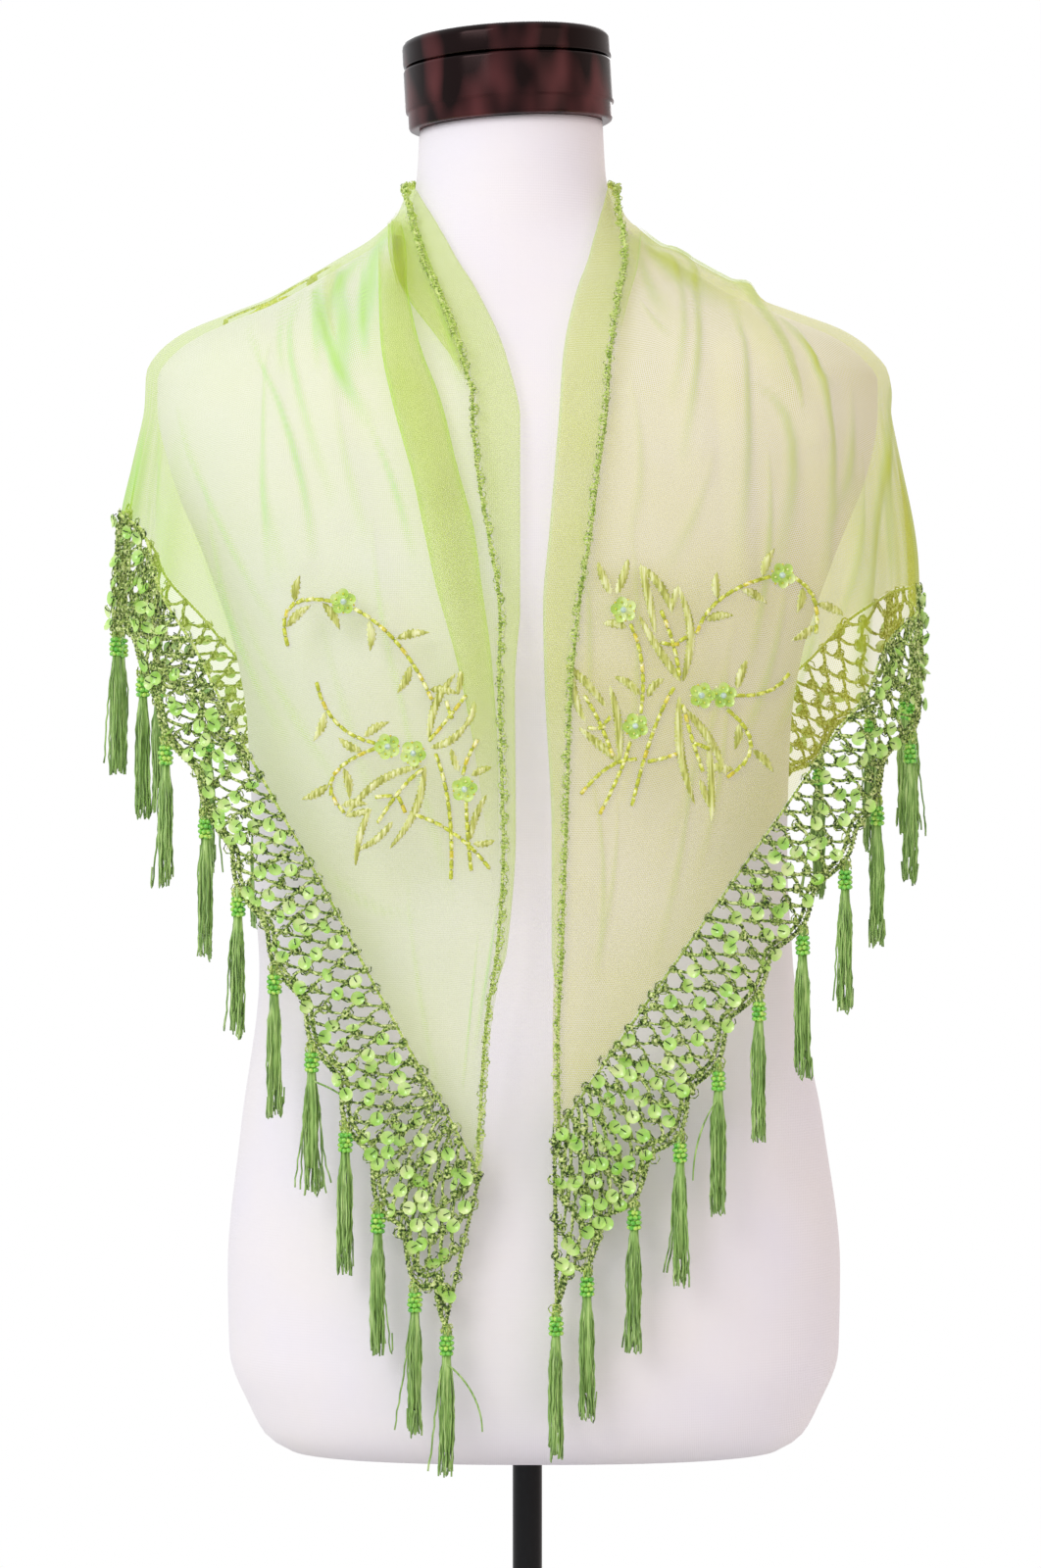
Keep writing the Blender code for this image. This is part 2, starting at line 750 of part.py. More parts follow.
def turned_object(name, profile, kind, steps):
    """Body turned from a profile of radius and height, listed down its outer side."""
    bm = bmesh.new()
    verts = [bm.verts.new(Vector((radius, 0.0, height)) * MM) for radius, height in profile]
    for before, after in zip(verts, verts[1:]):
        bm.edges.new((before, after))
    mesh = bpy.data.meshes.new(name)
    bm.to_mesh(mesh)
    bm.free()
    piece = add_object(name, mesh, kind)
    screw = piece.modifiers.new("turn", "SCREW")
    screw.steps = steps
    screw.render_steps = steps
    screw.use_merge_vertices = True
    screw.merge_threshold = 0.00001
    return piece


def build_cap():
    """Lacquered neck cap and the thinner lid on it, both tilted with the neck."""
    height = FORM_RINGS[-1][0]
    neck_centre = Vector((FORM_RINGS[-1][4], 0.0, height))
    tilt = Vector((-math.sin(NECK_TILT), 0.0, math.cos(NECK_TILT)))
    body = (
        (0.0, CAP_HEIGHT),
        (CAP_RADIUS - CAP_BEVEL, CAP_HEIGHT),
        (CAP_RADIUS, CAP_HEIGHT - CAP_BEVEL),
        (CAP_RADIUS, CAP_FOOT),
        (CAP_RADIUS - CAP_INSET, CAP_FOOT - CAP_BEVEL),
        (CAP_RADIUS - CAP_INSET, CAP_BEVEL),
        (CAP_RADIUS - CAP_INSET - CAP_BEVEL, 0.0),
        (0.0, 0.0),
    )
    lid = (
        (0.0, LID_HEIGHT),
        (CAP_RADIUS - CAP_EDGE, LID_HEIGHT - LID_DOME),
        (CAP_RADIUS - LID_SHOULDER, LID_HEIGHT - CAP_EDGE * 0.6),
        (CAP_RADIUS, LID_HEIGHT - CAP_EDGE - LID_DOME),
        (CAP_RADIUS, CAP_BEVEL),
        (CAP_RADIUS - CAP_BEVEL, 0.0),
        (0.0, 0.0),
    )
    for name, profile, rise in (("neck_cap", body, 0.0), ("neck_lid", lid, CAP_HEIGHT + SEAM_GAP)):
        piece = turned_object(name, profile, "lacquer", CAP_SIDES)
        piece.location = to_metres(neck_centre + tilt * (SEAM_GAP + rise))
        piece.rotation_euler.y = -NECK_TILT


def build_stand():
    """Pole, collar and round base plate."""
    plate = (
        (0.0, BASE_THICKNESS),
        (BASE_RADIUS - BASE_EDGE, BASE_THICKNESS),
        (BASE_RADIUS, BASE_THICKNESS - BASE_EDGE),
        (BASE_RADIUS, BASE_FOOT),
        (BASE_RADIUS - BASE_FOOT, 0.0),
        (0.0, 0.0),
    )
    turned_object("base_plate", plate, "pole", BASE_SIDES)
    foot = BASE_THICKNESS + SEAM_GAP
    inner = POLE_RADIUS + SEAM_GAP
    collar = (
        (inner, COLLAR_HEIGHT),
        (inner + COLLAR_WALL, COLLAR_HEIGHT),
        (COLLAR_RADIUS, COLLAR_FLANGE),
        (COLLAR_RADIUS, 0.0),
        (inner, 0.0),
        (inner, COLLAR_HEIGHT),
    )
    piece = turned_object("base_collar", collar, "pole", POLE_SIDES)
    piece.location = Vector((0.0, 0.0, foot)) * MM
    length = FORM_LIFT - SEAM_GAP - foot
    rod = (
        (0.0, length),
        (POLE_RADIUS, length),
        (POLE_RADIUS, 0.0),
        (0.0, 0.0),
    )
    piece = turned_object("pole", rod, "pole", POLE_SIDES)
    piece.location = Vector((0.0, 0.0, foot)) * MM


clear_scene()
PARTS = bpy.data.collections.new("beaded_triangle_shawl")
bpy.context.scene.collection.children.link(PARTS)
HEM = {side: hem_marks(side) for side in (-1, 1)}
NET_CORNER = {side: net_corner_angle(side) for side in (-1, 1)}

build_form()
build_cap()
build_stand()
build_net()
build_lapels()
build_trims()
for lace_side, word in ((-1, "left"), (1, "right")):
    build_lace(lace_side, f"lace_{word}_front", 0, STEEP_END)
    build_lace(lace_side, f"lace_{word}_side", STEEP_END, FRONT_END)
    build_lace(lace_side, f"lace_{word}_back", FRONT_END, SCALLOPS)
build_tassels()
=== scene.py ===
"""Looks of the beaded triangle shawl on its dress form.

Lengths are in millimetres above the torso's underside up to the last step,
which scales them to metres. Z is up and the front faces -Y. The side value is
-1 for the viewer's left and 1 for the right. Places are numpy arrays.
"""
import json
import math

import bpy
import numpy as np
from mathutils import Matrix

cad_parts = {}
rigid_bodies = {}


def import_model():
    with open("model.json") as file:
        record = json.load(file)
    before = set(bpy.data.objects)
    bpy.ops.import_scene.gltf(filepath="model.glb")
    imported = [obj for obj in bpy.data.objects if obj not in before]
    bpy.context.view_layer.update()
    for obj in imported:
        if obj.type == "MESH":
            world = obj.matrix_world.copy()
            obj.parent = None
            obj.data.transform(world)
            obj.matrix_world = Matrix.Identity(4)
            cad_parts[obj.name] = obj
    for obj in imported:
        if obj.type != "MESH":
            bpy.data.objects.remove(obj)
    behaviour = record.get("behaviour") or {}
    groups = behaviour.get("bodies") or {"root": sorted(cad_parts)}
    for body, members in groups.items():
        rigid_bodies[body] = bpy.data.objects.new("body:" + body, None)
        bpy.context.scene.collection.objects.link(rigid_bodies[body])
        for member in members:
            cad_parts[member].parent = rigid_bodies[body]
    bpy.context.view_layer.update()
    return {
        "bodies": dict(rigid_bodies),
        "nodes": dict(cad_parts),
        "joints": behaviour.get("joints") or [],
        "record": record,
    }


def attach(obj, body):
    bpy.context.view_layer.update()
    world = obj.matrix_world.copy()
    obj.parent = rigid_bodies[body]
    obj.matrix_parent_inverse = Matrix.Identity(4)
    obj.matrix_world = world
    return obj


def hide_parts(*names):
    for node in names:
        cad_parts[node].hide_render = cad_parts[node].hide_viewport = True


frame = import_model()

MM = 0.001
FORM_LIFT = 220.0

# Stand and cap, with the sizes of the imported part
BASE_RADIUS = 160.0
BASE_THICKNESS = 12.0
BASE_EDGE = 4.0
COLLAR_RADIUS = 24.0
COLLAR_HEIGHT = 22.0
POLE_RADIUS = 9.0
CAP_RADIUS = 64.0
CAP_HEIGHT = 38.0
LID_HEIGHT = 18.0
NECK_TILT = math.radians(3.2)
PART_GAP = 0.3

# Cloth: its gap from the form, the rise over the shoulders, how far out each layer lies,
# the turned-out front, the lace border with its scallops, and heights of the rim and neck
CLEARANCE = 4.0
RIM_LIFT = 2.9
RIM_LIFT_HEIGHT = 660.0
RIM_SPREAD = 34.0
NET_OUT = 0.6
LAPEL_OUT = 3.1
LAPEL_END = 275.0
LAPEL_TAPER = 32.0
LACE_OUT = 1.0
TRIM_BESIDE = 3.8
LACE_WIDTH = 52.0
SCALLOP_DEPTH = 7.0
SCALLOP_POINT = 1.4
SCALLOPS = 18
FIRST_SCALLOP = 0.62
TIP_SHARE = 0.38
FOLD_DEPTH = 120.0
FRONT_END = 12
RIM = 652.0
NECK_FRONT = 767.0
NECK_BACK = 790.0

# Torso rings: height above its underside, half-width, front depth, back depth,
# centre across, squareness of the ring
FORM_RINGS = (
    (0, 150, 86, 80, 4, 2.4),
    (8, 163, 98, 90, 4, 2.4),
    (25, 173, 107, 97, 4, 2.4),
    (60, 186, 113, 101, 4, 2.4),
    (110, 187, 115, 102, 4, 2.4),
    (195, 178, 108, 97, 3, 2.4),
    (300, 163, 95, 85, -1, 2.4),
    (350, 163, 95, 84, -4, 2.4),
    (440, 166, 108, 90, -5, 2.4),
    (485, 173, 120, 96, -5, 2.4),
    (540, 191, 127, 102, -5, 2.4),
    (600, 214, 124, 105, -5, 2.4),
    (634, 220, 115, 103, -6, 2.4),
    (652, 220, 108, 100, -6, 2.4),
    (663, 213, 103, 97, -7, 2.35),
    (675, 199, 96, 92, -7, 2.3),
    (687, 173, 88, 86, -8, 2.2),
    (697, 148, 81, 80, -9, 2.1),
    (708, 127, 73, 75, -10, 2),
    (721, 105, 67, 70, -10, 2),
    (735, 82, 62, 66, -10, 2),
    (752, 65, 59, 62, -10, 2),
    (775, 58, 56.5, 58, -10, 2),
    (807, 56, 56, 56, -10, 2),
)

# The hollow under the hanging cloth, in the same columns; it meets the torso at the rim
HANG_RINGS = (
    (60, 235, 125, 113, -6, 2.4),
    (250, 235, 126, 113, -6, 2.4),
    (440, 236, 127, 112, -6, 2.4),
    (540, 234, 128, 111, -6, 2.4),
    (600, 228, 125, 107, -6, 2.4),
    (652, 220, 108, 100, -6, 2.4),
)

# Front edges of the cloth: height, place across on the left and on the right
FRONT_EDGES = (
    (84, -48, 16.5),
    (175, -27.5, 15.5),
    (261, -21.5, 14.5),
    (313, -13, 15.5),
    (376, -8.5, 15.5),
    (462, -9, 11.5),
    (509, -5.5, 10.5),
    (551, -2.5, 14),
    (592, -2, 17.5),
    (622, -6, 20),
    (652, -13.5, 22),
    (688, -28, 28.5),
    (721, -45, 37.5),
    (767, -65, 45),
)

# Width of the turned-out front: height, left, right
LAPEL_WIDTHS = (
    (260, 1, 1),
    (380, 4, 5),
    (465, 6, 12),
    (516, 8, 18),
    (541, 12, 20),
    (590, 20, 22),
    (626, 23, 24),
    (656, 23, 24),
    (700, 20, 22),
    (740, 13, 14),
    (767, 9, 9),
)

# Lower edge: angle from the front in degrees, height of the lace's outer edge, height of the net's
LOWER_EDGES = {
    -1: (
        (3, 80, 175),
        (6, 84, 205),
        (11, 112, 245),
        (16, 157, 284),
        (25, 242, 350),
        (38, 331, 426),
        (52, 415, 496),
        (72, 485, 561),
        (90, 504, 573),
        (110, 487, 552),
        (135, 420, 488),
        (160, 342, 413),
        (180, 290, 374),
    ),
    1: (
        (2, 90, 190),
        (6, 116, 222),
        (12, 155, 262),
        (18, 190, 297),
        (30, 269, 359),
        (46, 341, 427),
        (62, 403, 480),
        (75, 444, 510),
        (90, 464, 527),
        (110, 460, 524),
        (135, 413, 482),
        (160, 341, 412),
        (180, 290, 374),
    ),
}

# Broad creases on the fronts: side, upper end across and height, lower end across and height,
# half-width, rise
CREASES = (
    (-1, -80, 712, -56, 580, 22, 4.5),
    (-1, -56, 580, -34, 400, 20, 4),
    (-1, -158, 676, -130, 536, 13, 4),
    (-1, -128, 690, -108, 560, 11, 3.5),
    (-1, -116, 640, -80, 500, 12, 3.5),
    (1, 84, 716, 128, 694, 15, 4.5),
    (1, 128, 694, 166, 610, 13, 4.5),
    (1, 88, 690, 100, 590, 17, 3.5),
    (1, 120, 660, 126, 520, 12, 4),
    (1, 172, 640, 174, 520, 13, 4.5),
)

# Hanging folds: side, angle in degrees, half-width in degrees, rise at full depth
HANGING_FOLDS = (
    (-1, 58, 9, 6),
    (-1, 79, 8, 9),
    (-1, 98, 9, 7),
    (-1, 119, 10, 8),
    (-1, 145, 10, 6),
    (-1, 169, 9, 5),
    (1, 55, 8, 6),
    (1, 74, 8, 9),
    (1, 93, 8, 8),
    (1, 114, 10, 7),
    (1, 137, 10, 7),
    (1, 160, 10, 5),
)

# Fine creases: side, then upper, middle and lower place (across, height), half-width,
# rise, share by which the cloth is denser there
FRONT_CREASES = (
    (-1, -164, 671, -137, 606, -124, 539, 3.2, 1.5, 0.9),
    (-1, -133, 697, -138, 655, -113, 572, 3.6, 1.6, 0.7),
    (-1, -124, 706, -117, 664, -94, 618, 5, 2, 1.3),
    (-1, -94, 618, -79, 583, -66, 536, 3.4, 1.5, 0.7),
    (-1, -97, 717, -97, 684, -94, 655, 2.8, 1.2, 0.8),
    (-1, -144, 690, -145, 668, -142, 645, 2.6, 1.1, 0.6),
    (-1, -126, 700, -124, 674, -121, 646, 3, 1.1, 0.7),
    (-1, -206, 629, -183, 566, -143, 490, 3, 1.3, 0.5),
    (-1, -196, 560, -182, 520, -166, 480, 4, 1.2, 0.35),
    (-1, -113, 640, -104, 590, -92, 545, 4, 1.2, 0.35),
    (-1, -158, 600, -150, 560, -140, 520, 5, 1.2, 0.3),
    (-1, -60, 702, -48, 672, -39, 640, 3, 1.2, 0.8),
    (-1, -172, 520, -140, 452, -96, 386, 4, 1.2, 0.35),
    (-1, -120, 500, -104, 440, -82, 372, 4.4, 1.2, 0.3),
    (1, 83, 726, 100, 688, 90, 596, 3.4, 1.6, 0.9),
    (1, 77, 722, 91, 688, 84, 629, 3.4, 1.4, 0.6),
    (1, 117, 700, 128, 634, 122, 540, 4.2, 1.7, 0.7),
    (1, 132, 640, 154, 606, 146, 536, 5, 1.8, 0.7),
    (1, 146, 682, 173, 632, 172, 530, 3.4, 1.7, 1),
    (1, 147, 680, 163, 660, 175, 640, 3, 1.3, 0.7),
    (1, 66, 690, 74, 676, 84, 664, 2.6, 1, 0.4),
    (1, 60, 640, 66, 590, 58, 548, 4, 1.2, 0.3),
    (1, 108, 600, 96, 560, 78, 530, 5, 1.2, 0.3),
    (1, 190, 640, 188, 600, 176, 560, 4, 1.4, 0.5),
    (1, 150, 520, 140, 470, 120, 420, 4.4, 1.3, 0.5),
    (1, 120, 500, 104, 430, 76, 360, 4.4, 1.2, 0.35),
    (1, 168, 500, 160, 470, 146, 436, 4, 1.4, 0.6),
    (1, 216, 652, 205, 566, 188, 462, 4.2, 2.2, 1.1),
    (1, 209, 624, 211, 572, 214, 522, 2.8, 1.4, 0.7),
    (1, 196, 600, 190, 540, 176, 486, 3, 1.2, 0.5),
    (-1, -226, 620, -228, 596, -232, 572, 2.6, 1, 0.5),
    (-1, -218, 630, -216, 590, -214, 548, 3, 1, 0.5),
    (-1, -112, 712, -108, 676, -108, 636, 6.5, 2.4, 1),
    (-1, -76, 470, -66, 420, -44, 340, 3.2, 1, 0.4),
    (1, 30, 560, 36, 500, 34, 430, 3, 1, 0.4),
    (1, 34, 420, 44, 360, 40, 290, 2.6, 1, 0.5),
    (1, 52, 400, 50, 350, 40, 300, 2.6, 1, 0.4),
    (-1, -80, 742, -92, 704, -98, 652, 9, 0.6, 1),
    (-1, -94, 722, -112, 700, -120, 664, 7, 0.6, 0.7),
    (1, 66, 742, 80, 714, 116, 690, 8, 0.6, 0.9),
    (1, 62, 736, 70, 704, 82, 676, 6, 0.6, 0.6),
    (-1, -150, 404, -126, 350, -94, 290, 3, 1.1, 0.35),
    (-1, -18, 336, -23, 298, -31, 250, 1.8, 0.9, 0.8),
    (-1, -29, 318, -32.5, 280, -38, 226, 1.1, 0.6, 0.8),
    (-1, -70, 350, -64, 290, -50, 216, 2.4, 0.9, 0.35),
    (-1, -126, 366, -96, 336, -62, 328, 4, 1.1, 0.3),
    (-1, -188, 580, -172, 500, -140, 430, 3.4, 1.3, 0.5),
    (-1, -90, 560, -84, 500, -70, 440, 3, 1.2, 0.4),
    (-1, -150, 660, -154, 600, -150, 520, 3, 1.4, 0.6),
    (1, 96, 430, 90, 370, 74, 300, 3.2, 1.1, 0.45),
    (1, 116, 470, 112, 410, 98, 350, 3, 1.1, 0.45),
    (1, 60, 560, 64, 480, 56, 400, 2.8, 1.1, 0.4),
    (1, 140, 600, 140, 540, 128, 470, 3.2, 1.3, 0.6),
)
BACK_CREASES = (
    (-1, -150, 690, -128, 600, -96, 520, 4, 1.6, 0.7),
    (-1, -118, 706, -98, 610, -74, 500, 4.6, 1.7, 0.8),
    (-1, -86, 736, -62, 640, -48, 540, 4.2, 1.6, 0.7),
    (-1, -44, 752, -34, 660, -30, 560, 4, 1.4, 0.6),
    (-1, -184, 650, -164, 580, -132, 500, 3.8, 1.4, 0.5),
    (1, 132, 690, 112, 610, 84, 520, 4, 1.6, 0.7),
    (1, 100, 710, 84, 620, 58, 500, 4.4, 1.6, 0.8),
    (1, 64, 744, 48, 650, 36, 540, 4, 1.5, 0.7),
    (1, 20, 756, 10, 660, 6, 560, 4, 1.4, 0.6),
    (1, 176, 650, 156, 580, 122, 500, 3.8, 1.4, 0.5),
)

# Height, and how much denser the cloth looks there on the left and on the right
COVER_ROWS = (
    (200, 0.26, 0.60),
    (400, 0.24, 0.42),
    (545, 0.32, 0.52),
    (640, 0.32, 0.52),
    (700, 0.38, 0.46),
    (790, 0.34, 0.44),
)

# Widening of the fine creases, straight runs in each, and extra density at the gathered sides
CREASE_WIDER = 1.3
CREASE_STEPS = 6
SIDE_GATHER = 1.1


def unit(vectors):
    """Vectors scaled to length 1."""
    return vectors / np.maximum(np.linalg.norm(vectors, axis=-1, keepdims=True), 1e-9)


def headings(path):
    """Unit directions along a path at each of its points."""
    return unit(np.gradient(path, axis=0))


def lengths_along(path):
    """Length of a path up to each of its points."""
    return np.concatenate([[0.0], np.cumsum(np.linalg.norm(np.diff(path, axis=0), axis=1))])


def turns(count):
    """Even turns round a circle, in radians."""
    return np.arange(count) * 2.0 * math.pi / count


def ring_quads(rings, sides, start=0):
    """Faces between neighbouring closed rings of points."""
    here = np.arange(sides)
    after = (here + 1) % sides
    first = start + np.arange(rings - 1)[:, None] * sides
    quads = np.stack([first + here, first + sides + here, first + sides + after, first + after], -1)
    return quads.reshape(-1, 4)


def grid_quads(rows, columns):
    """Faces of a grid of points."""
    numbers = np.arange(rows * columns).reshape(rows, columns)
    quads = np.stack([numbers[:-1, :-1], numbers[1:, :-1], numbers[1:, 1:], numbers[:-1, 1:]], -1)
    return quads.reshape(-1, 4)


def add_object(name, data):
    """New object in the scene."""
    obj = bpy.data.objects.new(name, data)
    bpy.context.scene.collection.objects.link(obj)
    return obj


def prepared(table):
    """Keys, values and kept-from-overshooting slopes of a table's columns."""
    rows = np.array(table, float)
    keys = rows[:, 0]
    values = rows[:, 1:]
    secants = np.diff(values, axis=0) / np.diff(keys)[:, None]
    slopes = np.empty_like(values)
    slopes[0] = secants[0]
    slopes[-1] = secants[-1]
    product = secants[:-1] * secants[1:]
    total = np.where(product > 0.0, secants[:-1] + secants[1:], 1.0)
    slopes[1:-1] = np.where(product > 0.0, 2.0 * product / total, 0.0)
    return keys, values, slopes


def table_at(ready, key):
    """Values of a prepared table's columns at keys, on smooth curves through its rows."""
    keys, values, slopes = ready
    key = np.clip(np.asarray(key, float), keys[0], keys[-1])
    low = np.clip(np.searchsorted(keys, key, side="right") - 1, 0, len(keys) - 2)
    run = (keys[low + 1] - keys[low])[..., None]
    t = (key - keys[low])[..., None] / run
    value = (2.0 * t**3 - 3.0 * t**2 + 1.0) * values[low]
    value = value + (t**3 - 2.0 * t**2 + t) * slopes[low] * run
    value = value + (3.0 * t**2 - 2.0 * t**3) * values[low + 1]
    return value + (t**3 - t**2) * slopes[low + 1] * run


FORM_TABLE = prepared(FORM_RINGS)
HANG_TABLE = prepared(HANG_RINGS)
EDGE_TABLE = prepared(FRONT_EDGES)
LAPEL_TABLE = prepared(LAPEL_WIDTHS)
COVER_TABLE = prepared(COVER_ROWS)
LOWER_TABLES = {side: prepared(rows) for side, rows in LOWER_EDGES.items()}


def side_value(ready, side, height):
    """Value at a height from a table with a column for the left and one for the right."""
    return table_at(ready, height)[..., 0 if side < 0 else 1]


def ease(share):
    """Smooth step from 0 to 1."""
    share = np.clip(share, 0.0, 1.0)
    return share * share * (3.0 - 2.0 * share)


def bump(distance, half_width):
    """Rounded rise that is 1 at its middle and 0 beyond its half-width."""
    inside = np.clip(np.abs(distance) / half_width, 0.0, 1.0)
    return np.cos(0.5 * math.pi * inside) ** 2


def ring_at(height):
    """Columns of the shape under the cloth: the torso above the rim, the hollow below."""
    above = np.asarray(height)[..., None] >= RIM
    return np.where(above, table_at(FORM_TABLE, height), table_at(HANG_TABLE, height))


def ring_point(ring, side, height, angle):
    """Point of a ring at an angle from the front."""
    half_width, front, back, centre, squareness = np.moveaxis(ring, -1, 0)
    across = np.maximum(0.0, np.sin(angle)) ** (2.0 / squareness)
    along = np.abs(np.cos(angle)) ** (2.0 / squareness)
    depth = np.where(np.cos(angle) > 0.0, -front, back)
    x = centre + side * half_width * across
    y = depth * along
    return np.stack(np.broadcast_arrays(x, y, np.asarray(height, float)), -1)


def shell_point(side, height, angle):
    """Point of the shape under the cloth."""
    return ring_point(ring_at(height), side, height, angle)


def outward(side, height, angle):
    """Unit normal of the shape under the cloth."""
    turn = math.radians(1.0)
    sweep = shell_point(side, height, angle + turn) - shell_point(side, height, angle - turn)
    rise = shell_point(side, height + 2.0, angle) - shell_point(side, height - 2.0, angle)
    return unit(np.cross(sweep, rise) * side)


def segment_distance(x, z, start, end):
    """Distance of places from a straight run, and the share along it."""
    run = np.array(end) - np.array(start)
    share = ((x - start[0]) * run[0] + (z - start[1]) * run[1]) / run.dot(run)
    share = np.clip(share, 0.0, 1.0)
    return np.hypot(x - start[0] - run[0] * share, z - start[1] - run[1] * share), share


def curve_through(upper, middle, lower, steps):
    """Points on a smooth arc through three places."""
    upper, middle, lower = (np.array(place, float) for place in (upper, middle, lower))
    bend = 2.0 * middle - 0.5 * (upper + lower)
    t = np.linspace(0.0, 1.0, steps + 1)[:, None]
    return (1.0 - t) ** 2 * upper + 2.0 * t * (1.0 - t) * bend + t**2 * lower


def fine_creases(side, point, angle):
    """Rise and extra density of the fine creases at points."""
    rise = np.zeros(point.shape[:-1])
    dense = np.zeros(point.shape[:-1])
    for table, facing in ((FRONT_CREASES, 1.0), (BACK_CREASES, -1.0)):
        shown = np.cos(angle) * facing > -0.05
        for crease_side, x1, z1, x2, z2, x3, z3, half_width, lift, more in table:
            if crease_side != side:
                continue
            run = curve_through((x1, z1), (x2, z2), (x3, z3), CREASE_STEPS)
            best = np.zeros(point.shape[:-1])
            for k in range(CREASE_STEPS):
                away, share = segment_distance(point[..., 0], point[..., 2], run[k], run[k + 1])
                along = (k + share) / CREASE_STEPS
                taper = np.sin(math.pi * np.clip(0.04 + 0.92 * along, 0.0, 1.0)) ** 0.5
                reach = CREASE_WIDER * half_width * (0.6 + 0.9 * along)
                best = np.maximum(best, bump(away, reach) * taper)
            rise += np.where(shown, lift * best, 0.0)
            core = 0.62 * best**1.3 + 0.45 * best**4
            dense += np.where(shown, more * core, 0.0)
    return rise, dense


def fold_rise(side, point, angle):
    """How far broad creases and hanging folds lift the cloth, and how much denser it is."""
    rise = RIM_LIFT * bump(point[..., 2] - RIM_LIFT_HEIGHT, RIM_SPREAD)
    front = angle < math.radians(100.0)
    for crease_side, x_top, z_top, x_low, z_low, half_width, lift in CREASES:
        if crease_side == side:
            ends = ((x_top, z_top), (x_low, z_low))
            away, _ = segment_distance(point[..., 0], point[..., 2], *ends)
            rise = rise + np.where(front, lift * bump(away, half_width), 0.0)
    sink = ease((RIM - point[..., 2]) / FOLD_DEPTH)
    dense = np.zeros_like(rise)
    for fold_side, middle, half_width, lift in HANGING_FOLDS:
        if fold_side == side:
            share = bump(np.degrees(angle) - middle, half_width)
            rise = rise + lift * sink * share
            dense = dense + 0.35 * sink * share**3
    return rise, dense


def cloth_density(side, height, angle):
    """Inner face of the cloth without its fine creases, and the density of all of them."""
    point = shell_point(side, height, angle)
    rise, dense = fold_rise(side, point, angle)
    fine, more = fine_creases(side, point, angle)
    normal = outward(side, height, angle)
    cover = side_value(COVER_TABLE, side, height)
    gathered = bump(np.degrees(angle) - 92.0, 26.0) * ease((RIM + 30.0 - height) / 90.0)
    streaks = 0.62 + 0.38 * np.cos(angle * 96.0 + 1.4 * np.sin(angle * 37.0))
    dense = dense + more + cover + SIDE_GATHER * gathered * streaks
    return point + normal * (CLEARANCE + rise + fine)[..., None], normal, dense


def cloth(side, height, angle, out=0.0):
    """Points on the cloth's inner face, moved out along the normal."""
    height, angle, out = np.broadcast_arrays(
        np.asarray(height, float), np.asarray(angle, float), np.asarray(out, float)
    )
    point, normal, _ = cloth_density(side, height, angle)
    return point + normal * out[..., None]


def across_angle(side, height, x):
    """Angle at which a height has a place across, on the front half."""
    half_width, _, _, centre, squareness = np.moveaxis(ring_at(height), -1, 0)
    share = np.clip(side * (x - centre) / half_width, 0.0, 0.99)
    return np.arcsin(share ** (squareness / 2.0))


def edge_angle(side, height):
    """Angle at which the front edge of the cloth runs."""
    return across_angle(side, height, side_value(EDGE_TABLE, side, height))


def lower_heights(side, angle):
    """Heights of the lace's outer edge and of the net's lower edge."""
    heights = table_at(LOWER_TABLES[side], np.degrees(angle))
    return heights[..., 0], heights[..., 1]


def settle(side, first, column):
    """Height at which the front edge meets a lower edge."""
    height = first
    for _ in range(20):
        height = float(lower_heights(side, edge_angle(side, height))[column])
    return height


TIP = {side: settle(side, FRONT_EDGES[0][0], 0) for side in (-1, 1)}
CORNER = {side: settle(side, FRONT_EDGES[1][0], 1) for side in (-1, 1)}
TIP_ANGLE = {side: float(edge_angle(side, TIP[side])) for side in (-1, 1)}
CORNER_ANGLE = {side: float(edge_angle(side, CORNER[side])) for side in (-1, 1)}


def plain_cloth(side, height, angle):
    """Inner face of the cloth with its broad folds only."""
    point = shell_point(side, height, angle)
    rise, _ = fold_rise(side, point, angle)
    return point + outward(side, height, angle) * (CLEARANCE + rise)[..., None]


def hem_marks(side):
    """Angles along the outer edge and the lengths reached there."""
    angles = np.linspace(TIP_ANGLE[side], math.pi, 721)
    return angles, lengths_along(plain_cloth(side, lower_heights(side, angles)[0], angles))


HEM = {side: hem_marks(side) for side in (-1, 1)}


def hem_angle(side, scallop):
    """Angle on the outer edge at a count of scallops from the tip, the first one short."""
    scallop = np.asarray(scallop, float)
    angles, lengths = HEM[side]
    short = scallop * FIRST_SCALLOP
    pitches = np.where(scallop < 1.0, short, scallop - 1.0 + FIRST_SCALLOP)
    wanted = lengths[-1] * pitches / (SCALLOPS - 1.0 + FIRST_SCALLOP)
    return np.interp(wanted, lengths, angles)


def net_angle(side, scallop):
    """Angle on the net's lower edge straight across the lace from a scallop mark."""
    angle = hem_angle(side, scallop)
    turn = math.radians(1.0)
    low = np.maximum(angle - turn, TIP_ANGLE[side])
    high = np.minimum(angle + turn, math.pi)
    low_height = lower_heights(side, low)[0]
    high_height = lower_heights(side, high)[0]
    step = shell_point(side, low_height, high) - shell_point(side, low_height, low)
    run = np.linalg.norm(step, axis=-1)
    slope = (high_height - low_height) / run
    shift = slope / np.sqrt(1.0 + slope * slope) * LACE_WIDTH * (high - low) / run
    first = CORNER_ANGLE[side] + TIP_SHARE * (angle - TIP_ANGLE[side])
    last = math.pi - TIP_SHARE * (math.pi - angle)
    return np.minimum(np.maximum(angle - shift, first), last)


def lace_place(side, scallop, down):
    """Height and angle of places on the lace, down being the share from net to outer edge."""
    upper = net_angle(side, scallop)
    lower = hem_angle(side, scallop)
    top = lower_heights(side, upper)[1]
    bottom = lower_heights(side, lower)[0]
    return top + (bottom - top) * down, upper + (lower - upper) * down


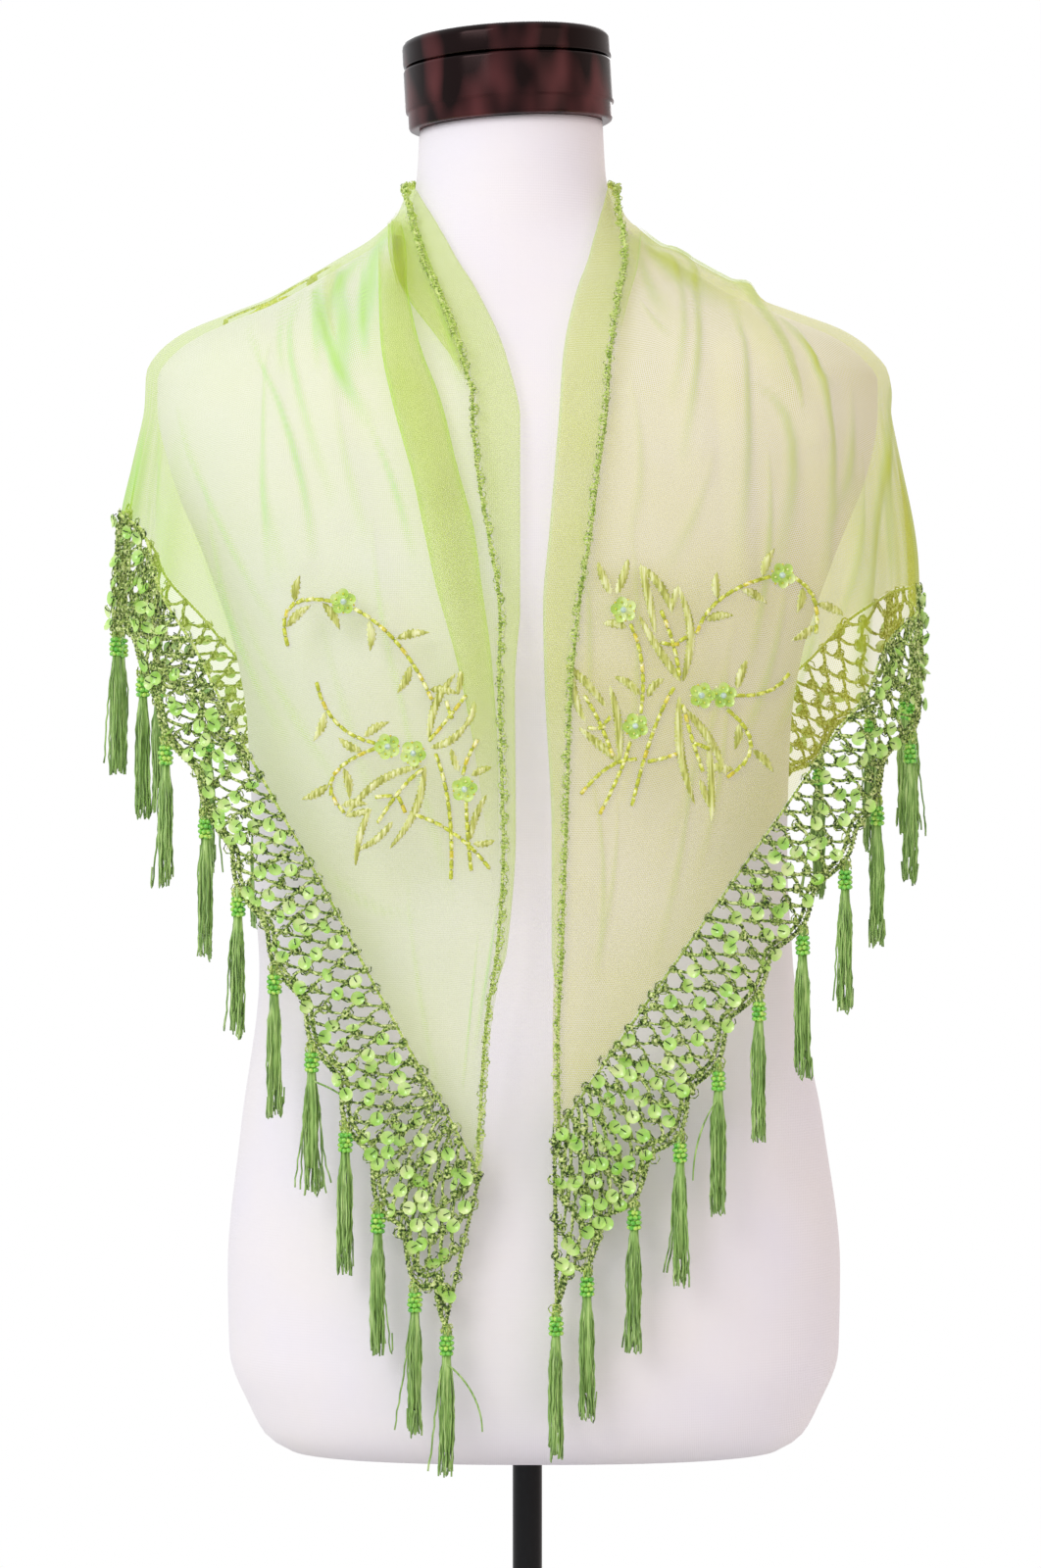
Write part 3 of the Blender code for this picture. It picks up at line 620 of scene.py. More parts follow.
def lace_point(side, scallop, down, out=LACE_OUT):
    """Point on the lace, moved out from the cloth's inner face."""
    scallop, down = np.broadcast_arrays(np.asarray(scallop, float), np.asarray(down, float))
    height, angle = lace_place(side, scallop, down)
    return cloth(side, height, angle, out)


def chain_edge(scallop):
    """Share across the lace at which its scalloped edge lies, 1 at each point."""
    reach = np.abs(np.cos(math.pi * np.asarray(scallop, float))) ** SCALLOP_POINT
    return 1.0 - SCALLOP_DEPTH / LACE_WIDTH * (1.0 - reach)


def front_place(x, z, out=0.0, facing=1):
    """Points on the cloth at places across and up, seen from the front or the back."""
    x, z, out = np.broadcast_arrays(np.asarray(x, float), np.asarray(z, float), np.asarray(out, float))
    points = np.zeros(x.shape + (3,))
    for side in (-1, 1):
        centre = ring_at(z)[..., 3]
        mine = (x < centre) if side < 0 else (x >= centre)
        if not mine.any():
            continue
        aim = x[mine].copy()
        for _ in range(3):
            angle = across_angle(side, z[mine], aim)
            if facing < 0:
                angle = math.pi - angle
            here = cloth(side, z[mine], angle, out[mine])
            aim = aim + x[mine] - here[..., 0]
        points[mine] = here
    return points


def to_metres(points):
    """Places above the torso's underside, in the part's frame."""
    return (np.asarray(points, float) + np.array([0.0, 0.0, FORM_LIFT])) * MM


# A direction that few paths follow, from which the sides of tubes are set out
TUBE_AIM = (0.31, 0.22, 0.92)


def path_sides(path):
    """Two unit directions square to a path at each of its points."""
    tangent = headings(path)
    across = unit(np.cross(tangent, np.array(TUBE_AIM)))
    return across, np.cross(across, tangent)


class Batch:
    """Many small forms gathered into one mesh, each face with a material's number."""

    def __init__(self):
        self.points = []
        self.faces = []
        self.kinds = []
        self.count = 0

    def add(self, points, faces, kind=0):
        """Add points and lists of faces that index them."""
        self.points.append(np.asarray(points, float).reshape(-1, 3))
        for block in faces:
            shifted = np.asarray(block) + self.count
            self.faces.extend(shifted.tolist())
            self.kinds.append(np.full(len(shifted), kind))
        self.count += len(self.points[-1])

    def tube(self, path, radius, sides=5, kind=0):
        """Round tube along a path, closed at both ends."""
        path = np.asarray(path, float)
        radius = np.broadcast_to(np.asarray(radius, float), (len(path),))
        across, up = path_sides(path)
        turn = turns(sides)
        ring = np.cos(turn)[:, None] * across[:, None] + np.sin(turn)[:, None] * up[:, None]
        points = path[:, None] + ring * radius[:, None, None]
        here = np.arange(sides)
        ends = [here, (len(path) - 1) * sides + here[::-1]]
        self.add(points, [ring_quads(len(path), sides), ends], kind)

    def stamp(self, shape, centres, frames, kind=0):
        """Copies of a small shape at centres, turned by frames of three axes each."""
        points, faces = shape
        placed = centres[:, None] + np.einsum("vk,nkc->nvc", points, frames)
        shift = np.arange(len(centres))[:, None, None] * len(points)
        blocks = [(block[None] + shift).reshape(-1, block.shape[1]) for block in faces]
        self.add(placed, blocks, kind)

    def piece(self, name, materials, smooth=True):
        """Object made of all that was gathered, riding on the part's one body."""
        mesh = bpy.data.meshes.new(name)
        mesh.from_pydata(to_metres(np.concatenate(self.points)).tolist(), [], self.faces)
        mesh.polygons.foreach_set("material_index", np.concatenate(self.kinds).astype(np.int32))
        mesh.polygons.foreach_set("use_smooth", np.full(len(self.faces), smooth))
        for material in materials:
            mesh.materials.append(material)
        mesh.update()
        obj = add_object(name, mesh)
        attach(obj, "root")
        return obj


def sheet(name, grid, materials, dense):
    """Thin sheet through a grid of places, with its density and its own flat coordinates."""
    rows, columns = grid.shape[:2]
    batch = Batch()
    batch.add(grid.reshape(-1, 3), [grid_quads(rows, columns)])
    obj = batch.piece(name, materials)
    layer = obj.data.attributes.new("dense", "FLOAT", "POINT")
    layer.data.foreach_set("value", dense.reshape(-1).astype(np.float32))
    across = np.linalg.norm(np.diff(grid, axis=0), axis=-1)
    across = np.concatenate([np.zeros((1, columns)), np.cumsum(across, axis=0)])
    down = np.linalg.norm(np.diff(grid, axis=1), axis=-1)
    down = np.concatenate([np.zeros((rows, 1)), np.cumsum(down, axis=1)], axis=1)
    flat = np.stack([across, down], -1).reshape(-1, 2) * MM
    corners = np.empty(len(obj.data.loops), np.int32)
    obj.data.loops.foreach_get("vertex_index", corners)
    layer = obj.data.uv_layers.new(name="flat")
    layer.data.foreach_set("uv", flat[corners].reshape(-1).astype(np.float32))
    return obj


def noise_at(key):
    """Steady pseudo-random share from 0 to 1 for each key."""
    value = np.sin(np.asarray(key, float) * 127.1 + 311.7) * 43758.5453
    return value - np.floor(value)


def frames_at(side, height, angle, spin=0.0, tip=0.0):
    """Axes on the cloth: along the level, up, and outward, spun in the cloth and tipped back."""
    turn = math.radians(0.5)
    along = unit(shell_point(side, height, angle + turn) - shell_point(side, height, angle - turn))
    normal = outward(side, height, angle)
    along = along * side
    up = unit(np.cross(normal, along))
    up = np.where(up[..., 2:] < 0.0, -up, up)
    along = np.cross(up, normal)
    return spun(along, up, normal, spin, tip)


def spun(along, up, normal, spin, tip):
    """Axes turned by spin about the normal, then tipped by tip about the first axis."""
    spin = np.broadcast_to(np.asarray(spin, float), along.shape[:-1])[..., None]
    tip = np.broadcast_to(np.asarray(tip, float), along.shape[:-1])[..., None]
    first = along * np.cos(spin) + up * np.sin(spin)
    second = up * np.cos(spin) - along * np.sin(spin)
    leaned = second * np.cos(tip) + normal * np.sin(tip)
    third = normal * np.cos(tip) - second * np.sin(tip)
    return np.stack([first, leaned, third], -2)


def disc_shape(radii, rises, sides):
    """Shallow turned shape: rings of the given radii and rises round a middle point."""
    turn = turns(sides)
    points = [np.array([[0.0, 0.0, rises[0]]])]
    for radius, rise in zip(radii, rises[1:]):
        ring = [np.cos(turn) * radius, np.sin(turn) * radius, np.full(sides, rise)]
        points.append(np.stack(ring, -1))
    here = np.arange(sides)
    after = (here + 1) % sides
    fan = np.stack([np.zeros(sides, int), 1 + here, 1 + after], -1)
    return np.concatenate(points), [fan, ring_quads(len(radii), sides, 1)]


def ball_shape(radius, sides, rows, stretch=(1.0, 1.0, 1.0)):
    """Round bead."""
    points = [[0.0, 0.0, radius]]
    for row in range(1, rows):
        tilt = math.pi * row / rows
        for k in range(sides):
            turn = 2.0 * math.pi * k / sides
            across = radius * math.sin(tilt)
            points.append([across * math.cos(turn), across * math.sin(turn), radius * math.cos(tilt)])
    points.append([0.0, 0.0, -radius])
    here = np.arange(sides)
    after = (here + 1) % sides
    last = len(points) - 1
    caps = [np.stack([np.zeros(sides, int), 1 + here, 1 + after], -1)]
    low = 1 + (rows - 2) * sides
    caps.append(np.stack([np.full(sides, last), low + after, low + here], -1))
    faces = [np.concatenate(caps), ring_quads(rows - 1, sides, 1)]
    return np.array(points) * np.array(stretch), faces


def turned(name, profile, sides, materials, base, tilt=0.0):
    """Body turned from radius and height, listed down its outer side."""
    profile = np.array(profile, float)
    turn = turns(sides)
    level = np.repeat(profile[:, 1:], sides, axis=1)
    points = np.stack([profile[:, :1] * np.cos(turn), profile[:, :1] * np.sin(turn), level], -1)
    lean = np.array([[math.cos(tilt), 0.0, math.sin(tilt)], [0.0, 1.0, 0.0],
                     [-math.sin(tilt), 0.0, math.cos(tilt)]])
    points = points @ lean + np.array(base)
    here = np.arange(sides)
    ends = [here[::-1], (len(profile) - 1) * sides + here]
    batch = Batch()
    batch.add(points, [ring_quads(len(profile), sides), ends])
    return batch.piece(name, materials)


def new_material(name, colour, roughness, **settings):
    """Principled material; settings name further sockets by their words."""
    material = bpy.data.materials.new(name)
    material.use_nodes = True
    shader = material.node_tree.nodes["Principled BSDF"]
    shader.inputs["Base Color"].default_value = (*colour, 1.0)
    shader.inputs["Roughness"].default_value = roughness
    for key, value in settings.items():
        shader.inputs[key.replace("_", " ").title()].default_value = value
    return material, material.node_tree, shader


def add_node(tree, kind, **inputs):
    """Shader node with values for its inputs, underscores standing for spaces."""
    node = tree.nodes.new(kind)
    for key, value in inputs.items():
        node.inputs[key.replace("_", " ")].default_value = value
    return node


def ramp_node(tree, factor, stops):
    """Colour ramp with stops of place and colour, fed by a factor."""
    node = tree.nodes.new("ShaderNodeValToRGB")
    while len(node.color_ramp.elements) < len(stops):
        node.color_ramp.elements.new(0.5)
    for element, (place, colour) in zip(node.color_ramp.elements, stops):
        element.position = place
        element.color = (*colour, 1.0)
    tree.links.new(factor, node.inputs["Fac"])
    return node


def colour_by(tree, shader, factor, stops):
    """Colour of a shader from a ramp fed by a factor."""
    tint = ramp_node(tree, factor, stops)
    tree.links.new(tint.outputs["Color"], shader.inputs["Base Color"])


def position(tree, scale):
    """Object coordinates scaled to a pattern's size in millimetres."""
    place = tree.nodes.new("ShaderNodeTexCoord")
    node = add_node(tree, "ShaderNodeMapping")
    node.inputs["Scale"].default_value = tuple(1000.0 / size for size in scale)
    tree.links.new(place.outputs["Object"], node.inputs["Vector"])
    return node.outputs["Vector"]


def add_bump(tree, shader, height, strength, distance):
    """Bump from a height, as deep as the distance in millimetres."""
    node = add_node(tree, "ShaderNodeBump", Strength=strength, Distance=distance * MM)
    tree.links.new(height, node.inputs["Height"])
    tree.links.new(node.outputs["Normal"], shader.inputs["Normal"])


def math_node(tree, operation, first, second):
    """Math node of two values, each a socket or a number."""
    node = tree.nodes.new("ShaderNodeMath")
    node.operation = operation
    for place, value in enumerate((first, second)):
        if isinstance(value, (int, float)):
            node.inputs[place].default_value = value
        else:
            tree.links.new(value, node.inputs[place])
    return node.outputs[0]


def scaled(tree, value, factor, shift):
    """Value times a factor, plus a shift."""
    return math_node(tree, "ADD", math_node(tree, "MULTIPLY", value, factor), shift)


def noise_node(tree, vector, scale, detail=2.0):
    """Cloudy noise from 0 to 1 over a vector."""
    node = add_node(tree, "ShaderNodeTexNoise", Scale=scale, Detail=detail)
    tree.links.new(vector, node.inputs["Vector"])
    return node.outputs["Fac"]


def wave_node(tree, vector, direction, scale):
    """Even waves from 0 to 1 along an axis of a vector."""
    node = add_node(tree, "ShaderNodeTexWave", Scale=scale)
    node.bands_direction = direction
    tree.links.new(vector, node.inputs["Vector"])
    return node.outputs["Fac"]


# Scale that gives a wave of length 1, and the net's mesh in millimetres
WAVE_UNIT = 2.0 * math.pi / 20.0
NET_PITCH = 1.25


def net_material(name, colour, fold_colour, deep_colour, cover, more_cover):
    """Fine sheer net: its cover grows where the cloth is gathered, over a fine weave."""
    material, tree, shader = new_material(name, colour, 0.75, sheen_weight=0.25, sheen_roughness=0.4)
    shader.inputs["Sheen Tint"].default_value = (0.9, 1.0, 0.6, 1.0)
    flat = tree.nodes.new("ShaderNodeUVMap")
    flat.uv_map = "flat"
    dense = tree.nodes.new("ShaderNodeAttribute")
    dense.attribute_name = "dense"
    weft = wave_node(tree, flat.outputs["UV"], "Y", WAVE_UNIT / (NET_PITCH * MM))
    warp = wave_node(tree, flat.outputs["UV"], "X", WAVE_UNIT / (NET_PITCH * MM))
    weave = math_node(tree, "ADD", weft, warp)
    place = position(tree, (40.0, 40.0, 40.0))
    uneven = noise_node(tree, place, 1.0, 3.0)
    wanted = scaled(tree, dense.outputs["Fac"], more_cover, cover)
    wanted = math_node(tree, "MULTIPLY", wanted, scaled(tree, uneven, 0.35, 0.825))
    wanted = math_node(tree, "MULTIPLY", wanted, scaled(tree, weave, 0.24, 0.76))
    shown = math_node(tree, "MINIMUM", wanted, 0.92)
    tree.links.new(shown, shader.inputs["Alpha"])
    stops = ((0.0, colour), (0.55, fold_colour), (1.0, deep_colour))
    colour_by(tree, shader, dense.outputs["Fac"], stops)
    add_bump(tree, shader, weave, 0.15, 0.2)
    return material


def yarn_material(name, stops, size, roughness=0.85):
    """Mottled yarn: patches of the stops' colours, with a fuzzy surface."""
    material, tree, shader = new_material(
        name, stops[1][1], roughness, sheen_weight=0.12, sheen_roughness=0.5
    )
    place = position(tree, (size, size, size))
    patches = noise_node(tree, place, 1.0, 4.0)
    colour_by(tree, shader, patches, stops)
    fibre = noise_node(tree, place, 6.0, 2.0)
    add_bump(tree, shader, fibre, 0.5, 0.3)
    return material


def thread_material(name, stops, gloss):
    """Shiny embroidery thread, streaked along the world's height."""
    material, tree, shader = new_material(
        name, stops[1][1], gloss, sheen_weight=0.3, sheen_roughness=0.3
    )
    place = position(tree, (1.6, 1.6, 22.0))
    streaks = noise_node(tree, place, 1.0, 3.0)
    colour_by(tree, shader, streaks, stops)
    twist = noise_node(tree, position(tree, (0.7, 0.7, 2.5)), 1.0, 1.0)
    add_bump(tree, shader, twist, 0.35, 0.15)
    return material


def bead_material(name, stops, size, roughness=0.12):
    """Coloured glass: each bead takes a tint by its place."""
    material, tree, shader = new_material(name, stops[1][1], roughness, coat_weight=0.6)
    place = position(tree, (size, size, size))
    colour_by(tree, shader, noise_node(tree, place, 1.0, 1.0), stops)
    return material


def sequin_material(name, stops):
    """Thin pearly plastic disc, a little see-through."""
    material, tree, shader = new_material(
        name, stops[1][1], 0.22, coat_weight=0.8, coat_roughness=0.1, alpha=0.93
    )
    place = position(tree, (9.0, 9.0, 9.0))
    colour_by(tree, shader, noise_node(tree, place, 1.0, 1.0), stops)
    return material


def jersey_material():
    """Fine knitted jersey, pale with a trace of violet, its ribs upright."""
    material, tree, shader = new_material(
        "jersey", (0.86, 0.82, 0.85), 0.9, sheen_weight=0.2, sheen_roughness=0.5
    )
    place = position(tree, (1.1, 1.1, 1.6))
    ribs = wave_node(tree, place, "X", WAVE_UNIT)
    rows = wave_node(tree, place, "Z", WAVE_UNIT)
    knit = math_node(tree, "ADD", ribs, rows)
    patches = noise_node(tree, position(tree, (90.0, 90.0, 90.0)), 1.0, 3.0)
    colour_by(tree, shader, patches, ((0.3, (0.90, 0.86, 0.93)), (0.7, (0.93, 0.88, 0.89))))
    add_bump(tree, shader, knit, 0.3, 0.12)
    return material


def lacquer_material():
    """Polished, nearly black wood, with red-brown patches painted in its colour as reflections."""
    material, tree, shader = new_material("lacquer", (0.014, 0.006, 0.006), 0.2)
    shader.inputs["Specular IOR Level"].default_value = 0.22
    shader.inputs["Specular Tint"].default_value = (1.0, 0.62, 0.62, 1.0)
    # Painted reflection: upright red-brown patches of the noise stand in for reflections in the
    # polish; the same noise varies the roughness.
    place = position(tree, (24.0, 24.0, 48.0))
    blotches = noise_node(tree, place, 1.0, 1.0)
    stops = ((0.46, (0.002, 0.001, 0.001)), (0.74, (0.11, 0.03, 0.032)))
    colour_by(tree, shader, blotches, stops)
    tree.links.new(scaled(tree, blotches, 0.12, 0.10), shader.inputs["Roughness"])
    return material


def pole_material():
    """Black powder-coated steel with a soft gloss."""
    material, tree, shader = new_material("pole", (0.006, 0.006, 0.007), 0.3)
    shader.inputs["Specular IOR Level"].default_value = 0.2
    blotches = noise_node(tree, position(tree, (1.2, 1.2, 1.2)), 1.0, 2.0)
    add_bump(tree, shader, blotches, 0.12, 0.1)
    return material


NET = net_material("net", (0.63, 0.77, 0.08), (0.55, 0.78, 0.05), (0.42, 0.80, 0.05), 0.22, 0.30)
# Painted shade: the right front's net is a copy of the net in darker, more ochre colours, folds
# included, standing in for the shade on the form's right side.
NET_RIGHT_SHADED = net_material(
    "net_right_shaded", (0.72, 0.67, 0.07), (0.66, 0.64, 0.03), (0.52, 0.60, 0.02), 0.24, 0.30
)
# Both lace yarns mix the yarn's own light and dark greens with near-black patches, which are painted
# shade standing in for the depths between the loops.
LACE_YARN = yarn_material(
    "lace_yarn",
    (
        (0.37, (0.012, 0.03, 0.006)),
        (0.44, (0.13, 0.25, 0.03)),
        (0.51, (0.45, 0.61, 0.12)),
        (0.59, (0.84, 0.92, 0.44)),
    ),
    1.7,
)
LACE_DARK = yarn_material(
    "lace_dark",
    ((0.35, (0.015, 0.035, 0.006)), (0.46, (0.13, 0.24, 0.03)), (0.58, (0.55, 0.68, 0.18))),
    2.0,
)
PICOT_YARN = yarn_material(
    "picot_yarn",
    ((0.32, (0.26, 0.42, 0.05)), (0.46, (0.52, 0.70, 0.13)), (0.62, (0.82, 0.92, 0.36))),
    2.2,
)
TASSEL_THREAD = thread_material(
    "tassel_thread",
    ((0.3, (0.10, 0.21, 0.03)), (0.5, (0.30, 0.52, 0.12)), (0.72, (0.60, 0.80, 0.30))),
    0.5,
)
SEED_BEAD = bead_material(
    "seed_bead",
    ((0.35, (0.12, 0.52, 0.05)), (0.5, (0.26, 0.70, 0.08)), (0.66, (0.58, 0.84, 0.14))),
    3.5,
)
CUP_SEQUIN = sequin_material(
    "cup_sequin",
    ((0.3, (0.36, 0.72, 0.09)), (0.5, (0.56, 0.88, 0.19)), (0.7, (0.82, 0.98, 0.42))),
)
DARK_STITCH, _, _ = new_material("dark_stitch", (0.03, 0.07, 0.02), 0.7)
JERSEY = jersey_material()
LACQUER = lacquer_material()
POLE = pole_material()
LEAF_CORD = thread_material(
    "leaf_cord",
    ((0.34, (0.42, 0.45, 0.05)), (0.5, (0.68, 0.71, 0.16)), (0.68, (0.92, 0.93, 0.50))),
    0.5,
)
LEAF_SATIN = thread_material(
    "leaf_satin",
    ((0.36, (0.36, 0.39, 0.05)), (0.5, (0.63, 0.66, 0.17)), (0.66, (0.90, 0.92, 0.52))),
    0.38,
)
BUGLE_GREEN = bead_material(
    "bugle_green",
    ((0.35, (0.44, 0.50, 0.015)), (0.52, (0.70, 0.76, 0.04)), (0.66, (0.98, 0.99, 0.50))),
    3.0,
)
BUGLE_AMBER = bead_material(
    "bugle_amber",
    ((0.35, (0.66, 0.56, 0.02)), (0.52, (0.84, 0.76, 0.05)), (0.68, (1.0, 0.97, 0.60))),
    3.0,
)
FLOWER_SEQUIN = sequin_material(
    "flower_sequin",
    ((0.3, (0.42, 0.68, 0.08)), (0.5, (0.60, 0.83, 0.14)), (0.7, (0.84, 0.96, 0.42))),
)
PEARL = bead_material(
    "pearl",
    ((0.3, (0.40, 0.56, 0.44)), (0.5, (0.55, 0.72, 0.60)), (0.7, (0.80, 0.90, 0.84))),
    2.0,
    0.2,
)

# Pleats lying on the net: name, layers, then stations of first edge (across, height)
# and second edge (across, height), from the upper end to the lower
PLEATS = (
    ("pleat_left", 2, (
        (-90, 734, -76, 732),
        (-89, 700, -72, 698),
        (-87, 664, -65, 664),
        (-79, 625, -51, 628),
        (-68, 587, -41, 590),
        (-60, 550, -31, 552),
        (-54, 522, -27, 522),
        (-41, 475, -21, 476),
        (-28, 405, -17, 406),
        (-19, 326, -17, 324),
    )),
    ("pleat_collar_left", 2, (
        (-84, 758, -71, 754),
        (-82, 733, -64, 731),
        (-79, 706, -54, 703),
        (-70, 686, -45, 680),
        (-56, 668, -39, 662),
        (-44, 652, -37, 646),
        (-38, 640, -36, 634),
    )),
    ("pleat_core_left", 2, (
        (-85, 748, -77, 744),
        (-84, 726, -73, 724),
        (-81, 708, -72, 706),
        (-77, 692, -72, 690),
    )),
    ("pleat_shoulder_left", 1, (
        (-122, 716, -106, 719),
        (-125, 702, -114, 704),
        (-122, 684, -115, 682),
        (-114, 656, -110, 654),
    )),
    ("pleat_shoulder_right", 2, (
        (66, 748, 62, 732),
        (86, 735, 78, 722),
        (108, 724, 100, 708),
        (130, 706, 121, 694),
        (147, 684, 137, 676),
        (158, 662, 149, 657),
        (164, 638, 158, 636),
        (166, 612, 163, 612),
    )),
    ("pleat_collar_right", 1, (
        (62, 742, 70, 740),
        (56, 712, 66, 712),
        (53, 690, 60, 690),
        (51, 664, 54, 664),
    )),
)


def build_form():
    """Smooth torso on the same rings as the solid, its neck cut at a slight tilt."""
    sides = 112
    heights = np.concatenate([np.linspace(0.0, 60.0, 13), np.linspace(66.0, 807.0, 140)])
    ring = table_at(FORM_TABLE, heights)
    turn = turns(sides)
    rows = []
    for side, angles in ((1, turn[turn <= math.pi]), (-1, 2.0 * math.pi - turn[turn > math.pi])):
        shape = np.repeat(ring[:, None], len(angles), axis=1)
        level = np.repeat(heights[:, None], len(angles), axis=1)
        rows.append(ring_point(shape, side, level, angles[None]))
    points = np.concatenate(rows, axis=1)
    lean = ease((heights - RIM) / (FORM_RINGS[-1][0] - RIM)) ** 4
    points[..., 2] += (points[..., 0] - ring[:, 3:4]) * math.tan(NECK_TILT) * lean[:, None]
    here = np.arange(sides)
    quads = ring_quads(len(heights), sides)[:, [0, 3, 2, 1]]
    batch = Batch()
    ends = [here[::-1], (len(heights) - 1) * sides + here]
    batch.add(points, [quads, ends])
    form = batch.piece("dress_form_jersey", [JERSEY])
    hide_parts("form_torso")


def build_cap():
    """Polished cap and lid with fine rounded edges."""
    height = FORM_RINGS[-1][0]
    centre = np.array([FORM_RINGS[-1][4], 0.0, height])
    tilt = np.array([-math.sin(NECK_TILT), 0.0, math.cos(NECK_TILT)])
    body = (
        (0.01, CAP_HEIGHT),
        (CAP_RADIUS - 2.4, CAP_HEIGHT),
        (CAP_RADIUS - 1.0, CAP_HEIGHT - 0.5),
        (CAP_RADIUS - 0.3, CAP_HEIGHT - 1.4),
        (CAP_RADIUS, CAP_HEIGHT - 2.6),
        (CAP_RADIUS, 12.6),
        (CAP_RADIUS - 0.4, 11.2),
        (CAP_RADIUS - 1.5, 10.2),
        (CAP_RADIUS - 1.5, 2.2),
        (CAP_RADIUS - 2.2, 0.8),
        (CAP_RADIUS - 3.6, 0.0),
        (0.01, 0.0),
    )
    lid = (
        (0.01, LID_HEIGHT),
        (CAP_RADIUS * 0.5, LID_HEIGHT - 0.3),
        (CAP_RADIUS - 6.0, LID_HEIGHT - 0.8),
        (CAP_RADIUS - 3.2, LID_HEIGHT - 1.6),
        (CAP_RADIUS - 1.2, LID_HEIGHT - 3.0),
        (CAP_RADIUS - 0.2, LID_HEIGHT - 5.0),
        (CAP_RADIUS, LID_HEIGHT - 6.4),
        (CAP_RADIUS, 2.4),
        (CAP_RADIUS - 0.5, 0.8),
        (CAP_RADIUS - 2.0, 0.0),
        (0.01, 0.0),
    )
    steps = (("cap_turned", "neck_cap", body, PART_GAP),
             ("lid_turned", "neck_lid", lid, CAP_HEIGHT + 2.0 * PART_GAP))
    for name, node, profile, rise in steps:
        piece = turned(name, profile, 96, [LACQUER], centre + tilt * rise, NECK_TILT)
        sharpen(piece)
        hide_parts(node)


def sharpen(piece):
    """Keep flat faces flat beside rounded edges."""
    piece.data.set_sharp_from_angle(angle=math.radians(50.0))
    piece.modifiers.new("normals", "WEIGHTED_NORMAL").keep_sharp = True


def build_stand():
    """Pole, collar and base plate."""
    foot = BASE_THICKNESS + PART_GAP
    inner = POLE_RADIUS + PART_GAP
    top = FORM_LIFT - PART_GAP - foot
    plate = (
        (0.01, BASE_THICKNESS),
        (BASE_RADIUS - BASE_EDGE, BASE_THICKNESS),
        (BASE_RADIUS - 1.6, BASE_THICKNESS - 0.9),
        (BASE_RADIUS - 0.4, BASE_THICKNESS - 2.4),
        (BASE_RADIUS, BASE_THICKNESS - BASE_EDGE - 0.4),
        (BASE_RADIUS, 1.5),
        (BASE_RADIUS - 0.5, 0.5),
        (BASE_RADIUS - 1.6, 0.0),
        (0.01, 0.0),
    )
    collar = (
        (inner, COLLAR_HEIGHT - 0.3),
        (inner + 0.6, COLLAR_HEIGHT),
        (inner + 2.4, COLLAR_HEIGHT),
        (inner + 3.2, COLLAR_HEIGHT - 0.8),
        (inner + 5.4, COLLAR_HEIGHT * 0.5),
        (COLLAR_RADIUS - 2.0, 6.8),
        (COLLAR_RADIUS - 0.4, 5.6),
        (COLLAR_RADIUS, 4.4),
        (COLLAR_RADIUS, 0.4),
        (COLLAR_RADIUS - 0.4, 0.0),
        (inner, 0.0),
    )
    rod = ((0.01, top), (POLE_RADIUS - 0.4, top), (POLE_RADIUS, top - 0.4), (POLE_RADIUS, 0.4),
           (POLE_RADIUS - 0.4, 0.0), (0.01, 0.0))
    pieces = (
        ("base_turned", "base_plate", plate, 0.0),
        ("collar_turned", "base_collar", collar, foot),
        ("pole_turned", "pole", rod, foot),
    )
    for name, node, profile, height in pieces:
        base = (0.0, 0.0, height - FORM_LIFT)
        piece = turned(name, profile, 72, [POLE], base)
        sharpen(piece)
        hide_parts(node)


# Fineness of the net: rows above the rim, then rows below it and columns a scallop
SHOULDER_ROWS = 46
FRONT_ROWS = 64
FRONT_COLUMNS = 30
BACK_ROWS = 56
BACK_COLUMNS = 16


def net_grid(side, marks, hang_rows):
    """Places, density and heights of the net along columns from the neck to the lace."""
    corner = CORNER_ANGLE[side]
    marks = np.asarray(marks, float)
    angle_low = net_angle(side, marks)
    share = (angle_low - corner) / (math.pi - corner)
    bottom = lower_heights(side, angle_low)[1]
    edge_bottom = lower_heights(side, np.array(corner))[1]
    top = NECK_FRONT + (NECK_BACK - NECK_FRONT) * ease(share)
    heights = []
    angles = []
    for row in np.linspace(0.0, 1.0, SHOULDER_ROWS + 1):
        row = row ** 1.15
        edge = edge_angle(side, NECK_FRONT + (RIM - NECK_FRONT) * row)
        angles.append(edge + (math.pi - edge) * share)
        heights.append(top + (RIM - top) * row)
    for row in range(1, hang_rows + 1):
        down = row / hang_rows
        edge = edge_angle(side, RIM + (edge_bottom - RIM) * down)
        angles.append(edge + (math.pi - edge) * share)
        heights.append(RIM + (bottom - RIM) * down)
    heights = np.stack(heights, -1)
    angles = np.stack(angles, -1)
    point, normal, dense = cloth_density(side, heights, angles)
    return point + normal * NET_OUT, dense


